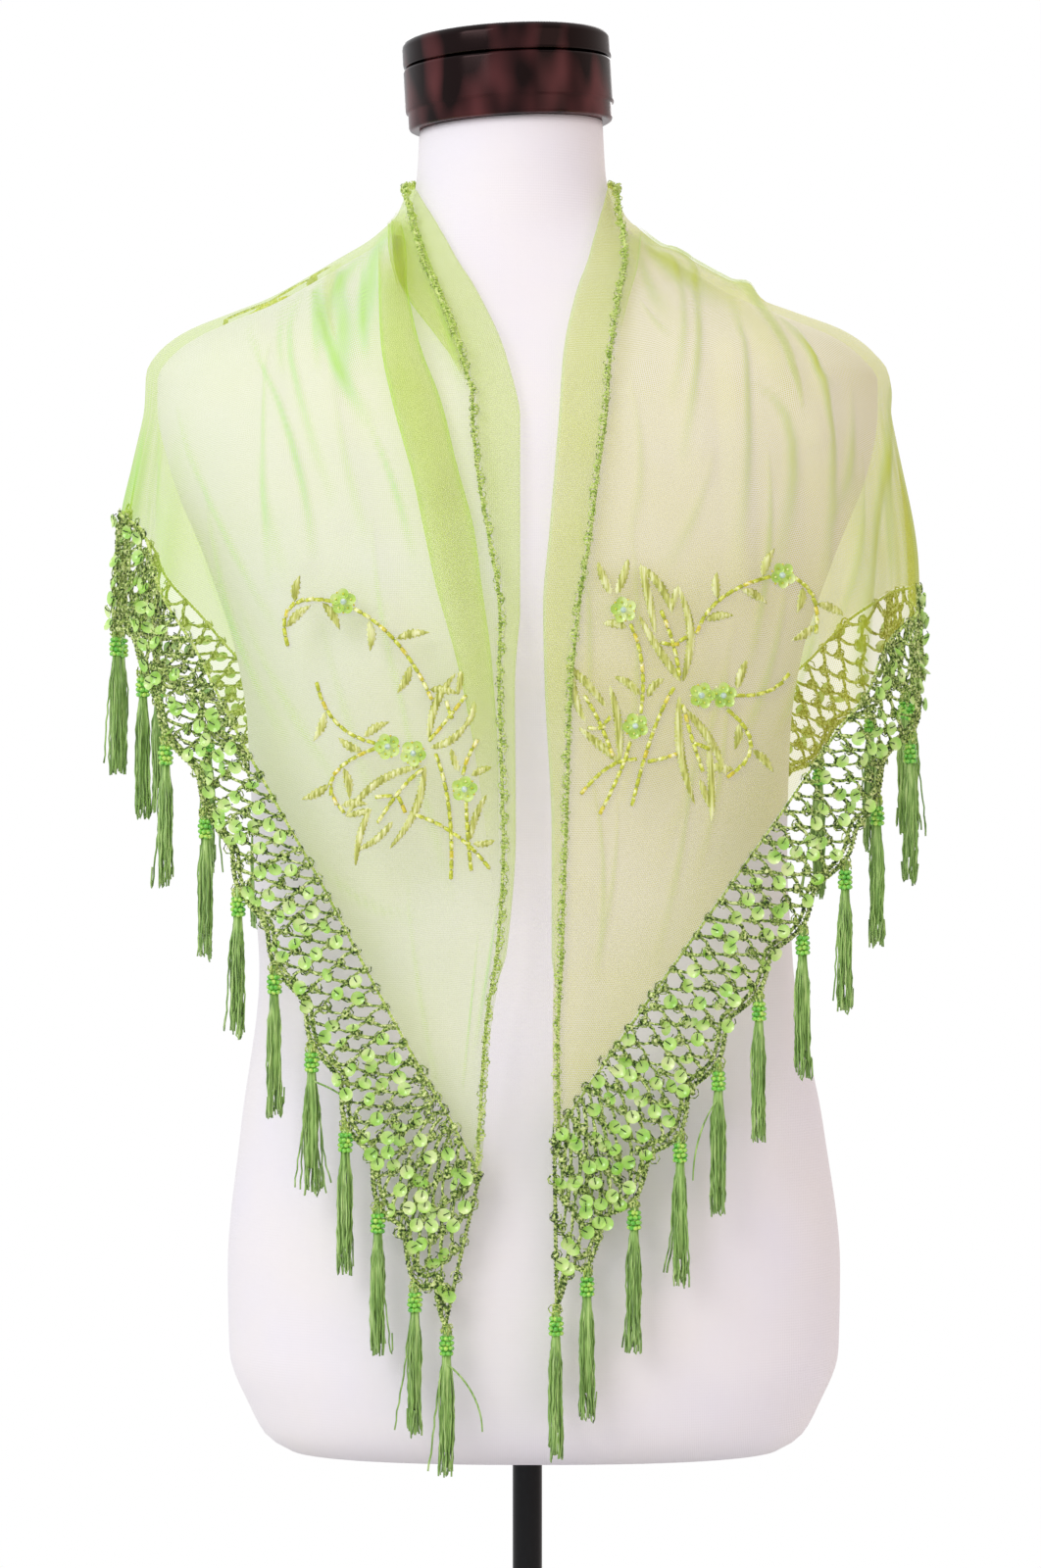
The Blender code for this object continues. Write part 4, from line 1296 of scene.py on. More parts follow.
def build_net():
    """The two front stretches of the net and the back one."""
    nets = []
    # The right front takes the copy of the net with painted shade in its colours.
    for side, word, material in ((-1, "left", NET), (1, "right", NET_RIGHT_SHADED)):
        marks = np.linspace(0.0, FRONT_END, FRONT_END * FRONT_COLUMNS + 1)
        grid, dense = net_grid(side, marks, FRONT_ROWS)
        if side > 0:
            grid = grid[::-1]
            dense = dense[::-1]
        net = sheet(f"net_sheer_front_{word}", grid, [material], dense)
        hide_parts(f"net_front_{word}")
        nets.append(net)
    marks = np.linspace(FRONT_END, SCALLOPS, (SCALLOPS - FRONT_END) * BACK_COLUMNS + 1)
    left, left_dense = net_grid(-1, marks, BACK_ROWS)
    right, right_dense = net_grid(1, marks, BACK_ROWS)
    grid = np.concatenate([left, right[-2::-1]])
    dense = np.concatenate([left_dense, right_dense[-2::-1]])
    net = sheet("net_sheer_back", grid, [NET], dense)
    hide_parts("net_back")
    nets.append(net)
    for net in nets:
        net.visible_shadow = False
        net.visible_diffuse = False
    return nets


# Pleats that fade towards both sides and have no denser edges
SOFT_PLEATS = ("pleat_shoulder_left", "pleat_shoulder_right")
PLEAT_STEPS = 60


def build_pleats():
    """Tapered pleats of further net layers, with denser folded edges."""
    pieces = []
    for name, layers, stations in PLEATS:
        rows = [(float(k), *station) for k, station in enumerate(stations)]
        table = prepared(rows)
        along = np.linspace(0.0, len(stations) - 1.0, PLEAT_STEPS + 1)
        edges = table_at(table, along)
        cross = np.linspace(0.0, 1.0, 15)
        x = edges[:, :1] + (edges[:, 2:3] - edges[:, :1]) * cross
        z = edges[:, 1:2] + (edges[:, 3:4] - edges[:, 1:2]) * cross
        share = np.linspace(0.0, 1.0, PLEAT_STEPS + 1)[:, None]
        fade = ease(share / 0.12) * ease((1.0 - share) / 0.2)
        rim = np.maximum(bump(cross, 0.14), bump(1.0 - cross, 0.14))
        if name in SOFT_PLEATS:
            fade = fade * ease(np.minimum(cross, 1.0 - cross) / 0.4)
            rim = np.zeros_like(rim)
        for layer in range(layers):
            lift = NET_OUT + 0.5 + 0.5 * layer + 0.9 * bump(cross - 0.5, 0.5)
            grid = front_place(x, z, lift)
            deep = (0.16 + 0.50 * rim) * (1.4 - 0.9 * share)
            dense = fade * deep - 0.85 * (1.0 - fade)
            piece = sheet(f"{name}_{layer + 1}", grid, [NET], dense)
            pieces.append(piece)
    return pieces


def walk(side, height, angle, distance):
    """Angle reached after a distance along a level line, away from the front."""
    steps = 10
    turn = math.radians(0.25)
    for _ in range(steps):
        ahead = shell_point(side, height, angle + turn)
        back = shell_point(side, height, angle - turn)
        speed = np.linalg.norm(ahead - back, axis=-1) / (2.0 * turn)
        angle = angle + distance / steps / speed
    return angle


def build_lapels():
    """Front edges rolled outwards and lying on the net."""
    pieces = []
    for side, word in ((-1, "left"), (1, "right")):
        height = np.linspace(NECK_FRONT + 3.0, LAPEL_END, 130)
        edge = edge_angle(side, height)
        width = side_value(LAPEL_TABLE, side, height)
        rolled = ease((height - LAPEL_END) / LAPEL_TAPER)
        edge = walk(side, height, edge, (TRIM_BESIDE - 1.0) * (1.0 - rolled))
        base = cloth(side, height, edge, 0.0)
        normal = outward(side, height, edge)
        inward = unit(shell_point(side, height, edge - 0.01) - shell_point(side, height, edge + 0.01))
        radius = (LAPEL_OUT - NET_OUT) / 2.0
        rows = []
        for turn in np.linspace(0.0, math.pi, 7)[:-1]:
            place = base + normal * (NET_OUT + radius * (1.0 - math.cos(turn)))
            rows.append(place + inward * (radius * 1.3 * math.sin(turn) * rolled)[:, None])
        wave = 0.5 * np.sin(height / 17.0 + side) + 0.4 * np.sin(height / 7.3)
        for share in np.linspace(0.0, 1.0, 11):
            angle = walk(side, height, edge, width * share)
            lift = LAPEL_OUT + wave * share * 0.8
            rows.append(cloth(side, height, angle, lift))
        grid = np.stack(rows)
        share = np.linspace(0.0, 1.0, len(rows))[:, None]
        dense = np.broadcast_to(0.08 + 0.40 * bump(share - 0.06, 0.24), grid.shape[:2])
        if side > 0:
            grid = grid[::-1]
            dense = dense[::-1]
        piece = sheet(f"lapel_sheer_{word}", grid, [NET], np.ascontiguousarray(dense))
        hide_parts(f"lapel_{word}")
        pieces.append(piece)
    return pieces


def twisted(batch, path, radius, twist_radius, pitch, sides=5, kinds=(0, 0), phase=0.0):
    """Two strands twisted round each other along a path."""
    length = lengths_along(path)
    across, up = path_sides(path)
    for strand, kind in enumerate(kinds):
        turn = (2.0 * math.pi * length / pitch + math.pi * strand + phase)[:, None]
        batch.tube(path + (across * np.cos(turn) + up * np.sin(turn)) * twist_radius,
                   radius, sides, kind)


def even_path(points, step):
    """Path resampled at an even step."""
    lengths = lengths_along(points)
    count = max(2, int(round(lengths[-1] / step)) + 1)
    wanted = np.linspace(0.0, lengths[-1], count)
    return np.stack([np.interp(wanted, lengths, points[:, k]) for k in range(3)], -1)


PICOT_STEP = 13


def picot_trim(name, node, path, inward):
    """Crocheted edging: a fuzzy twisted chain with small picot bumps on one side."""
    batch = Batch()
    path = even_path(path, 1.1)
    twisted(batch, path, 0.65, 0.7, 3.6, 5)
    tangent = headings(path)
    seed = len(path)
    for k in range(3, len(path) - 3, 2):
        shift = (noise_at(k + seed) - 0.3) * 3.0
        place = path[k] + inward * shift + np.array([0.0, -0.5, noise_at(k * 3.3) - 0.5])
        turn = np.linspace(0.0, 1.7 * math.pi, 6) + 6.3 * noise_at(k * 1.7)
        size = 1.0 + 0.7 * noise_at(k * 2.9)
        loop = np.stack([np.cos(turn), np.zeros_like(turn), np.sin(turn)], -1) * size
        batch.tube(place + loop, 0.42, 3)
    for k in range(PICOT_STEP // 2, len(path) - 6, PICOT_STEP):
        reach = 2.6 + 1.9 * noise_at(k * 0.7)
        for part in (-1.0, 0.0, 1.0):
            turn = np.linspace(0.0, math.pi, 6)[:, None]
            centre = path[k] + tangent[k] * (part * 2.1 + noise_at(k * 1.9))
            loop = centre + inward * np.sin(turn) * (reach - abs(part) * 1.1)
            loop = loop + tangent[k] * np.cos(turn) * 1.3
            batch.tube(loop, 0.5, 5)
    piece = batch.piece(name, [PICOT_YARN])
    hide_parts(node)
    return piece


def build_trims():
    """Picot edging along both fronts and round the back of the neck."""
    pieces = []
    for side, word in ((-1, "left"), (1, "right")):
        height = np.linspace(NECK_FRONT, CORNER[side] + 2.0, 400)
        beside = side_value(LAPEL_TABLE, side, height) + TRIM_BESIDE
        angle = walk(side, height, edge_angle(side, height), beside - 1.8)
        path = cloth(side, height, angle, 3.2)
        inward = np.array([-side * 1.0, -0.15, 0.0])
        pieces.append(picot_trim(f"picot_{word}", f"trim_{word}", path, inward))
    half = []
    for side in (-1, 1):
        angle = np.linspace(math.radians(70.0), math.pi, 60)
        neck = edge_angle(side, np.array(NECK_FRONT))
        share = (angle - neck) / (math.pi - neck)
        height = NECK_FRONT + (NECK_BACK - NECK_FRONT) * ease(share) - 2.0
        path = cloth(side, height, angle, 3.0)
        half.append(path if side < 0 else path[-2::-1])
    up = np.array([0.0, 0.0, 1.0])
    pieces.append(picot_trim("picot_back", "trim_back", np.concatenate(half), up))
    return pieces

# Rows of crocheted loops: how far from the net to the outer edge each lies where the
# border has its usual width; those below zero are only in the longer corners
LACE_ROWS = (-0.81, -0.60, -0.39, -0.18, 0.03, 0.24, 0.45, 0.66, 0.87)
LOOP_WIDTH = 12.0

# Shares across the lace: between the two chains of its edge, and from the net to its first
# loops; then the mark at which the first scallop starts
CHAIN_GAP = 0.075
LOOPS_BEGIN = 0.02
LACE_START = 0.02

# Stretches of the lace, with their first and last scallop
LACE_STRIPS = (("front", 0, 6), ("side", 6, 12), ("back", 12, 18))
KNOT = ball_shape(1.0, 6, 4, (1.25, 1.0, 0.8))
CUP = disc_shape((0.9, 2.3, 3.4, 4.2), (0.0, 0.0, 0.35, 1.0, 1.6), 12)
LACE_MARKS = np.linspace(LACE_START, float(SCALLOPS), 361)
LACE_REACH = {
    side: np.linalg.norm(
        lace_point(side, LACE_MARKS, 0.0) - lace_point(side, LACE_MARKS, 1.0), axis=1
    )
    for side in (-1, 1)
}


def row_down(side, mark, row):
    """Share across the lace of a row, which keeps its distance from the outer edge."""
    reach = np.interp(mark, LACE_MARKS, LACE_REACH[side])
    return 1.0 - (1.0 - row) * np.minimum(1.0, LACE_WIDTH / reach)


def row_loops(side, first, last, number):
    """Loops of a row: start mark, width in scallops, upper and lower share, and a seed."""
    upper, lower = LACE_ROWS[number], LACE_ROWS[number + 1]
    ends = np.maximum(np.arange(first, last + 1), LACE_START)
    ends = lace_point(side, ends, np.maximum(row_down(side, ends, lower), 0.03))
    lengths = np.linalg.norm(np.diff(ends, axis=0), axis=1)
    loops = []
    for scallop, length in zip(range(first, last), lengths):
        count = max(1, int(round(length / LOOP_WIDTH)))
        for k in range(count):
            start = scallop + (k + 0.5 * (number % 2)) / count
            middle = start + 0.5 / count
            low = float(row_down(side, middle, lower))
            high = max(float(row_down(side, middle, upper)), LOOPS_BEGIN)
            if low - high > 0.05 and middle < SCALLOPS:
                seed = (scallop * 5 + k) * 7.7 + number * 3.1 + side
                loops.append((start, 1.0 / count, high, low, seed))
    return loops


def three_noises(key, first):
    """Three steady noises for each key, as the parts of a shift."""
    return np.stack([noise_at(key * step) for step in (first, first + 2.0, first + 6.0)], -1)


def lace_loops(batch, side, first, last):
    """Rows of crocheted loops, each hung from the middles of the loops above."""
    loops = []
    for number in range(len(LACE_ROWS) - 1):
        loops.extend(row_loops(side, first, last, number))
    start, width, high, low, seed = np.array(loops).T[:, :, None]
    t = np.linspace(0.0, 1.0, 9)[None, :]
    low = low + 0.03 * (noise_at(seed) - 0.5)
    lean = 0.12 * np.sin(2.0 * math.pi * t) * (noise_at(seed + 1.0) - 0.3)
    mark = np.clip(start + width * (t + lean), LACE_START, SCALLOPS)
    down = high + (low - high) * np.sin(math.pi * t) ** 0.55
    out = LACE_OUT + 0.5 * np.sin(math.pi * t) * (noise_at(seed + 2.0) - 0.2)
    paths = lace_point(side, mark, down, out)
    main = paths + 0.5 * three_noises(seed + t, 11.0)
    loose = paths + 2.6 * (three_noises(seed + t, 19.0) - 0.5)
    thick = 0.62 + 0.62 * noise_at(seed + 5.0 * t)
    for k, run in enumerate(main):
        batch.tube(run, thick[k], 5)
        batch.tube(loose[k], 0.42, 4, 1)
    knot_mark = np.concatenate([mark[:, 4], np.maximum(start[:, 0], 0.03)])
    knot_down = np.concatenate([low[:, 0], high[:, 0]])
    knot_seed = np.concatenate([seed[:, 0], seed[:, 0] + 0.5])
    size = 1.3 + 0.8 * noise_at(knot_seed)
    height, angle = lace_place(side, knot_mark, knot_down)
    frames = frames_at(side, height, angle, 6.3 * noise_at(knot_seed + 3.0))
    centres = cloth(side, height, angle, LACE_OUT + 0.3)
    batch.stamp(KNOT, centres, frames * size[:, None, None])
    turn = np.linspace(0.0, 1.5 * math.pi, 6)
    for k, centre in enumerate(centres):
        for part in range(3):
            key = knot_seed[k] * 1.9 + part * 0.61
            reach = 1.5 + 2.1 * noise_at(key)
            spin = turn + 6.3 * noise_at(key + 1.0)
            lift = 0.6 * np.sin(2.0 * spin) + 0.8 * noise_at(key + 2.0)
            curl = np.stack([np.cos(spin) * reach, np.sin(spin) * reach, lift], -1)
            shift = (noise_at(key + 4.0) - 0.5) * 3.0 * frames[k, 0]
            batch.tube(centre + shift + curl @ frames[k], 0.46, 3, part % 2)


def lace_edges(batch, side, first, last):
    """Double chain along the scalloped edge, and a single one where the net begins."""
    marks = np.linspace(first, last, (last - first) * 30 + 1)
    marks = np.clip(marks, LACE_START, SCALLOPS)
    outer = even_path(lace_point(side, marks, chain_edge(marks)), 1.3)
    inner = even_path(lace_point(side, marks, chain_edge(marks) - CHAIN_GAP), 1.3)
    twisted(batch, outer, 1.0, 0.95, 5.6, 4)
    twisted(batch, inner, 0.85, 0.8, 6.2, 4, (0, 1), 1.0)
    zigs = np.linspace(first, last, (last - first) * 15 + 1)
    zigs = np.clip(zigs, LACE_START, SCALLOPS)
    level = chain_edge(zigs) - CHAIN_GAP * (np.arange(len(zigs)) % 2)
    rung = lace_point(side, zigs, level, LACE_OUT + 0.3)
    batch.tube(rung, 0.5, 4, 1)
    top = even_path(lace_point(side, marks, LOOPS_BEGIN), 1.2)
    twisted(batch, top, 0.6, 0.6, 4.4, 4, (2, 2))
    if first == 0:
        down = np.linspace(0.0, 1.0, 50)
        front = even_path(lace_point(side, 0.03, down), 1.2)
        twisted(batch, front, 0.8, 0.8, 4.6, 5, (0, 1))


# Share of the loops in each row that carry a sequin
SEQUIN_SHARES = (0.55, 0.55, 0.55, 0.6, 0.85, 0.88, 0.85, 0.5)


def lace_sequins(batch, side, first, last):
    """Cup sequins, each hung by one dark stitch over a loop's lower bend."""
    chosen = []
    for number, wanted in enumerate(SEQUIN_SHARES):
        for start, width, _, low, seed in row_loops(side, first, last, number):
            if noise_at(seed + 7.0) < wanted:
                chosen.append((start + width * 0.5, width, low, seed))
    mark, width, low, seed = np.array(chosen).T
    mark = np.clip(mark + width * 0.7 * (noise_at(seed + 1.0) - 0.5), 0.03, SCALLOPS)
    down = low - 0.03 + 0.10 * (noise_at(seed + 2.0) - 0.5)
    height, angle = lace_place(side, mark, down)
    spin = 2.8 * (noise_at(seed + 4.0) - 0.5)
    tip = -0.15 + 1.9 * (noise_at(seed + 5.0) - 0.5)
    frames = frames_at(side, height, angle, spin, tip)
    centres = cloth(side, height, angle, LACE_OUT + 2.0 + 0.8 * noise_at(seed + 3.0))
    for centre, (_, up, away) in zip(centres, frames):
        stitch = np.stack([
            centre + away * 0.3,
            centre + away * 1.4 + up * 1.6,
            centre + away * 1.6 + up * 3.2,
            centre - away * 0.6 + up * 4.8,
        ])
        batch.tube(stitch, 0.32, 4, 1)
    batch.stamp(CUP, centres, frames)


def build_lace():
    """Crocheted border with its sequins, in the same stretches as the solids."""
    pieces = []
    for side, word in ((-1, "left"), (1, "right")):
        for part, first, last in LACE_STRIPS:
            batch = Batch()
            lace_loops(batch, side, first, last)
            lace_edges(batch, side, first, last)
            piece = batch.piece(f"crochet_{word}_{part}", [LACE_YARN, LACE_DARK, PICOT_YARN])
            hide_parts(f"lace_{word}_{part}")
            pieces.append(piece)
            batch = Batch()
            lace_sequins(batch, side, first, last)
            piece = batch.piece(f"sequins_{word}_{part}", [CUP_SEQUIN, DARK_STITCH])
            pieces.append(piece)
    return pieces


# Long stray threads: tassel's number, reach across and drop
STRAYS = ((1, 21.0, 34.0), (5, 20.0, 8.0), (33, -15.0, 42.0))
SEED = ball_shape(1.65, 7, 4, (1.0, 1.0, 0.9))

# Radius of each row of seed beads below the knot
BEAD_ROWS = (2.7, 3.1, 3.2, 2.9)
THREADS = 26


def below(top, drops):
    """Places straight below a point."""
    return np.stack([np.full(len(drops), top[0]), np.full(len(drops), top[1]), top[2] - drops], -1)


def tassel_threads(batch, top, seed):
    """Threads of one tassel: most cut off, some doubled back as loops, a few astray."""
    for k in range(THREADS):
        key = seed * 31.0 + k * 1.37
        turn = 2.4 * k + noise_at(key)
        spread = math.sqrt((k + 0.5) / THREADS)
        length = 70.0 + 8.0 * (noise_at(key + 1.0) - 0.6)
        t = np.linspace(0.0, 1.0, 14)
        radius = 1.9 + 2.7 * spread * ease(t / 0.3) - 0.5 * spread * t
        stray = 6.0 * (noise_at(key + 2.0) > 0.96)
        lean = stray * t**2 * (0.5 + noise_at(key + 3.0))
        crimp = 0.35 * np.sin(34.0 * t + 6.3 * noise_at(key + 8.0))
        sway = 0.8 * np.sin(7.0 * t + 6.3 * noise_at(key + 4.0)) * t + crimp
        side_sway = 0.8 * np.sin(6.0 * t + 6.3 * noise_at(key + 5.0)) * t - crimp
        radius = radius + lean
        path = np.stack(
            [
                top[0] + radius * math.cos(turn) + sway,
                top[1] + radius * math.sin(turn) + side_sway,
                top[2] - 17.0 - length * t,
            ],
            -1,
        )
        if noise_at(key + 6.0) > 0.8:
            back = path[-1] + np.array([1.6 * math.cos(turn + 1.3), 1.6 * math.sin(turn + 1.3), 0.0])
            rise = path[-3] + (back - path[-1]) * 1.4
            low = (path[-1] + back) / 2.0 - np.array([0.0, 0.0, 1.4])
            path = np.concatenate([path, low[None], back[None] + [0.0, 0.0, 1.0], rise[None]])
        batch.tube(path, 0.56 + 0.14 * noise_at(key + 7.0), 3)
    batch.tube(below(top, np.linspace(16.0, 74.0, 5)), np.array([2.4, 3.3, 3.4, 3.2, 2.2]), 7)
    for number, reach, drop in STRAYS:
        if number == seed:
            t = np.linspace(0.0, 1.0, 16)
            path = np.stack(
                [
                    top[0] + reach * np.sin(0.5 * math.pi * t) ** 1.5,
                    top[1] - 2.0 - 1.5 * np.sin(math.pi * t),
                    top[2] - 22.0 - drop * (1.0 - np.cos(0.5 * math.pi * t)) - 6.0 * t,
                ],
                -1,
            )
            batch.tube(path, 0.6, 4)


def tassel_head(batch, top, seed):
    """Fluffy knot with rows of seed beads below it."""
    for k in range(16):
        key = seed * 17.0 + k * 2.13
        turn = np.linspace(0.0, 1.6 * math.pi, 6) + 6.3 * noise_at(key)
        tilt = 3.1 * noise_at(key + 1.0)
        size = 1.5 + 1.2 * noise_at(key + 2.0)
        loop = np.stack([
            np.cos(turn) * math.cos(tilt), np.cos(turn) * math.sin(tilt), np.sin(turn)
        ], -1) * size
        where = 2.4 * k
        shift = np.array([1.9 * math.cos(where), 1.9 * math.sin(where), -0.6 - 4.6 * k / 16.0])
        batch.tube(top + shift + loop, 0.5, 3, 1)
    batch.tube(below(top, np.linspace(-0.5, 17.5, 5)), np.array([1.4, 2.3, 2.5, 2.5, 2.3]), 8)
    centres = []
    for row, radius in enumerate(BEAD_ROWS):
        for k in range(7):
            turn = 2.0 * math.pi * (k + 0.5 * row) / 7.0 + seed
            wobble = 0.5 * (noise_at(seed + k + row * 9.0) - 0.5)
            centres.append(top + np.array([
                (radius + wobble) * math.cos(turn),
                (radius + wobble) * math.sin(turn),
                -7.4 - 2.9 * row + wobble,
            ]))
    centres = np.array(centres)
    batch.stamp(SEED, centres, np.repeat(np.eye(3)[None], len(centres), axis=0), 2)


def build_tassels():
    """One tassel at each scallop point, numbered as the solids are."""
    pieces = []
    marks = [0.006] + list(range(1, SCALLOPS + 1))
    places = [(-1, mark) for mark in marks] + [(1, mark) for mark in marks[-2::-1]]
    for number, (side, mark) in enumerate(places, 1):
        height, angle = lace_place(side, np.array(float(mark)), 1.0)
        top = plain_cloth(side, height, angle) + outward(side, height, angle) * 0.9
        batch = Batch()
        tassel_threads(batch, top, number)
        tassel_head(batch, top, number)
        name = f"tassel_{number:02d}"
        piece = batch.piece(f"beaded_{name}", [TASSEL_THREAD, PICOT_YARN, SEED_BEAD])
        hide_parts(name)
        pieces.append(piece)
    return pieces


# Each flower's middle, across and up
FLOWERS = (
    (-108, 512),
    (-82, 427),
    (-67, 423),
    (-37, 402),
    (56, 507),
    (150, 528),
    (102, 457),
    (115, 457),
    (63, 439),
)
# Start, middle and end of each vine, and the leaves along it
VINES = (
    ((-141, 486), (-139, 509), (-114, 512), 3),
    ((-102, 508), (-76, 487), (-56, 454), 4),
    ((-124, 465), (-112, 441), (-89, 429), 2),
    ((-89, 426), (-114, 409), (-107, 388), 4),
    ((-54, 423), (-46, 390), (-45, 349), 0),
    ((-66, 387), (-42, 375), (-22, 355), 0),
    ((-36, 395), (-35, 375), (-33, 354), 0),
    ((-38, 410), (-35, 420), (-29, 431), 0),
    ((-61, 414), (-74, 402), (-88, 382), 0),
    ((-79, 398), (-83, 398), (-89, 397), 0),
    ((-76, 398), (-74, 394), (-72, 388), 0),
    ((-58, 430), (-47, 443), (-36, 457), 0),
    ((-44, 443), (-46, 448), (-47, 454), 0),
    ((60, 499), (67, 474), (66, 446), 0),
    ((60, 430), (54, 412), (42, 387), 0),
    ((31, 399), (48, 415), (64, 419), 0),
    ((70, 418), (79, 420), (88, 423), 0),
    ((86, 462), (73, 434), (61, 392), 0),
    ((99, 493), (114, 514), (143, 527), 4),
    ((157, 527), (169, 514), (170, 494), 3),
    ((122, 457), (142, 460), (154, 471), 0),
    ((117, 449), (131, 428), (117, 409), 3),
    ((78, 507), (85, 488), (89, 468), 0),
    ((78, 488), (85, 487), (93, 492), 0),
    ((33, 457), (42, 441), (50, 421), 0),
    ((35, 438), (42, 438), (48, 445), 0),
    ((91, 452), (96, 433), (103, 412), 0),
    ((97, 429), (101, 428), (106, 425), 0),
)
# Foot and tip of each long satin leaf or leaf rim, with its half-width and its bend
LONG_LEAVES = (
    ((-62, 416), (-107, 386), 2.4, -6),
    ((-60, 416), (-81, 367), 2.4, 5),
    ((-91, 390), (-107, 386), 2, 0),
    ((-92, 391), (-101, 357), 2.1, -2),
    ((-79, 383), (-100, 366), 2.1, 2),
    ((-58, 431), (-42, 470), 2.4, 4),
    ((-57, 426), (-35, 441), 2.4, -3),
    ((-37, 438), (-31, 454), 2, -1.5),
    ((-39, 472), (-41, 457), 2, 0.5),
    ((-34, 372), (-24, 399), 2.1, 1.5),
    ((-32, 370), (-19, 372), 2, -1),
    ((-33, 410), (-21, 415), 2.1, 0.5),
    ((-40, 412), (-45, 426), 2, 0.5),
    ((90, 465), (65, 504), 2.5, 1),
    ((91, 465), (88, 522), 2.6, -6),
    ((66, 534), (75, 493), 2.5, 0.5),
    ((66, 533), (85, 505), 2.5, 3),
    ((88, 521), (84, 506), 2, 0),
    ((22, 475), (46, 450), 2.5, 1.5),
    ((26, 469), (34, 441), 2.4, -2),
    ((54, 418), (30, 438), 2.5, 0),
    ((54, 419), (48, 463), 2.5, -2),
    ((89, 457), (98, 393), 2.6, -4),
    ((91, 450), (117, 410), 2.5, 3),
    ((106, 429), (108, 383), 2.5, 1),
    ((101, 408), (107, 391), 2, 0),
    ((49, 516), (41, 535), 2.5, 0.5),
    ((52, 516), (59, 537), 2.5, -0.5),
    ((58, 497), (44, 499), 2.5, -1),
    ((66, 457), (51, 468), 2.5, -1.5),
    ((70, 456), (80, 467), 2.5, 1.5),
    ((123, 461), (129, 478), 2.5, 0.5),
)
SHOULDER_VINE = ((-203.0, 664.0), (-166.0, 692.0), (-130.0, 704.0), 6)

# The back's sprays lie higher and closer; bead length and step; how far out stitches lie
BACK_LIFT = 34.0
BACK_SPREAD = 0.84
BUGLE = 5.0
BUGLE_STEP = 5.9
STITCH_OUT = 1.1


def flat_curve(start, middle, end, step):
    """Evenly spaced places on an arc through three places."""
    points = curve_through(start, middle, end, 40)
    points = np.concatenate([points, np.zeros((len(points), 1))], axis=1)
    return even_path(points, step)[:, :2]


def sideways(places):
    """Directions to the left of a run of places."""
    run = headings(places)
    return np.stack([-run[:, 1], run[:, 0]], -1)


def add_bugles(batch, places, runs, facing, seed):
    """Short glass tubes on the cloth, laid along their runs."""
    ends = []
    for share in (-0.5, 0.5):
        spot = places + runs * BUGLE * share
        ends.append(front_place(spot[:, 0], spot[:, 1], STITCH_OUT + 1.0, facing))
    for k, (first, last) in enumerate(zip(*ends)):
        amber = noise_at(k * 1.3 + seed) > 0.84
        path = first + (last - first) * np.array([0.0, 0.5, 1.0])[:, None]
        batch.tube(path, 1.25, 6, 2 if amber else 1)


def add_cord(batch, places, facing, radius):
    """Couched cord along places, its radius waved by the wrapping."""
    path = front_place(places[:, 0], places[:, 1], STITCH_OUT, facing)
    wave = 1.0 + 0.28 * np.cos(np.arange(len(path)) * math.pi)
    batch.tube(path, radius * wave, 6, 0)


def add_leaf(batch, foot, run, length, facing, half_width=2.6, bend=1.2, blunt=0.9):
    """Padded satin-stitched leaf, pointed at both ends and serrated by its stitches."""
    count = max(11, int(length / 1.25))
    along = np.linspace(0.0, 1.0, count)[:, None]
    across = np.linspace(-1.0, 1.0, 5)[None, :]
    serrated = 1.0 + 0.2 * np.cos(np.arange(count)[:, None] * math.pi)
    width = half_width * serrated * np.sin(math.pi * along**0.85) ** blunt
    aside = width * across + bend * np.sin(math.pi * along)
    x = foot[0] + run[0] * length * along - run[1] * aside
    z = foot[1] + run[1] * length * along + run[0] * aside
    rise = 0.3 + 1.5 * np.sin(math.pi * along) ** 0.6 * (1.0 - across**2)
    grid = front_place(x, z, STITCH_OUT - 0.3 + rise, facing)
    batch.add(grid, [grid_quads(*grid.shape[:2])], 3)


def add_vine(batch, vine, facing, seed):
    """Beaded vine with satin leaves by turns on its two sides."""
    start, middle, end, leaves = vine
    places = flat_curve(start, middle, end, 1.6)
    add_cord(batch, places, facing, 0.75)
    beads = flat_curve(start, middle, end, BUGLE_STEP)
    runs = headings(beads)[:-1]
    beads = beads[:-1]
    add_bugles(batch, beads + runs * BUGLE_STEP / 2.0, runs, facing, seed)
    left = sideways(places)
    run = headings(places)
    for k in range(leaves):
        here = int((k + 0.7) / leaves * (len(places) - 1))
        turn = 1.0 if k % 2 else -1.0
        lean = 0.55 + 0.35 * noise_at(seed + k * 2.1)
        aim = unit(run[here] * lean + left[here] * turn)
        length = 15.5 + 5.0 * noise_at(seed * 0.7 + k)
        add_leaf(batch, places[here] + left[here] * turn * 1.2, aim, length, facing)


def add_long_leaf(batch, leaf, facing):
    """Long, nearly even stroke of satin stitch."""
    foot, tip, half_width, bend = leaf
    reach = np.array(tip) - np.array(foot)
    length = np.linalg.norm(reach)
    add_leaf(batch, foot, reach / length, length, facing, half_width, bend, 0.5)


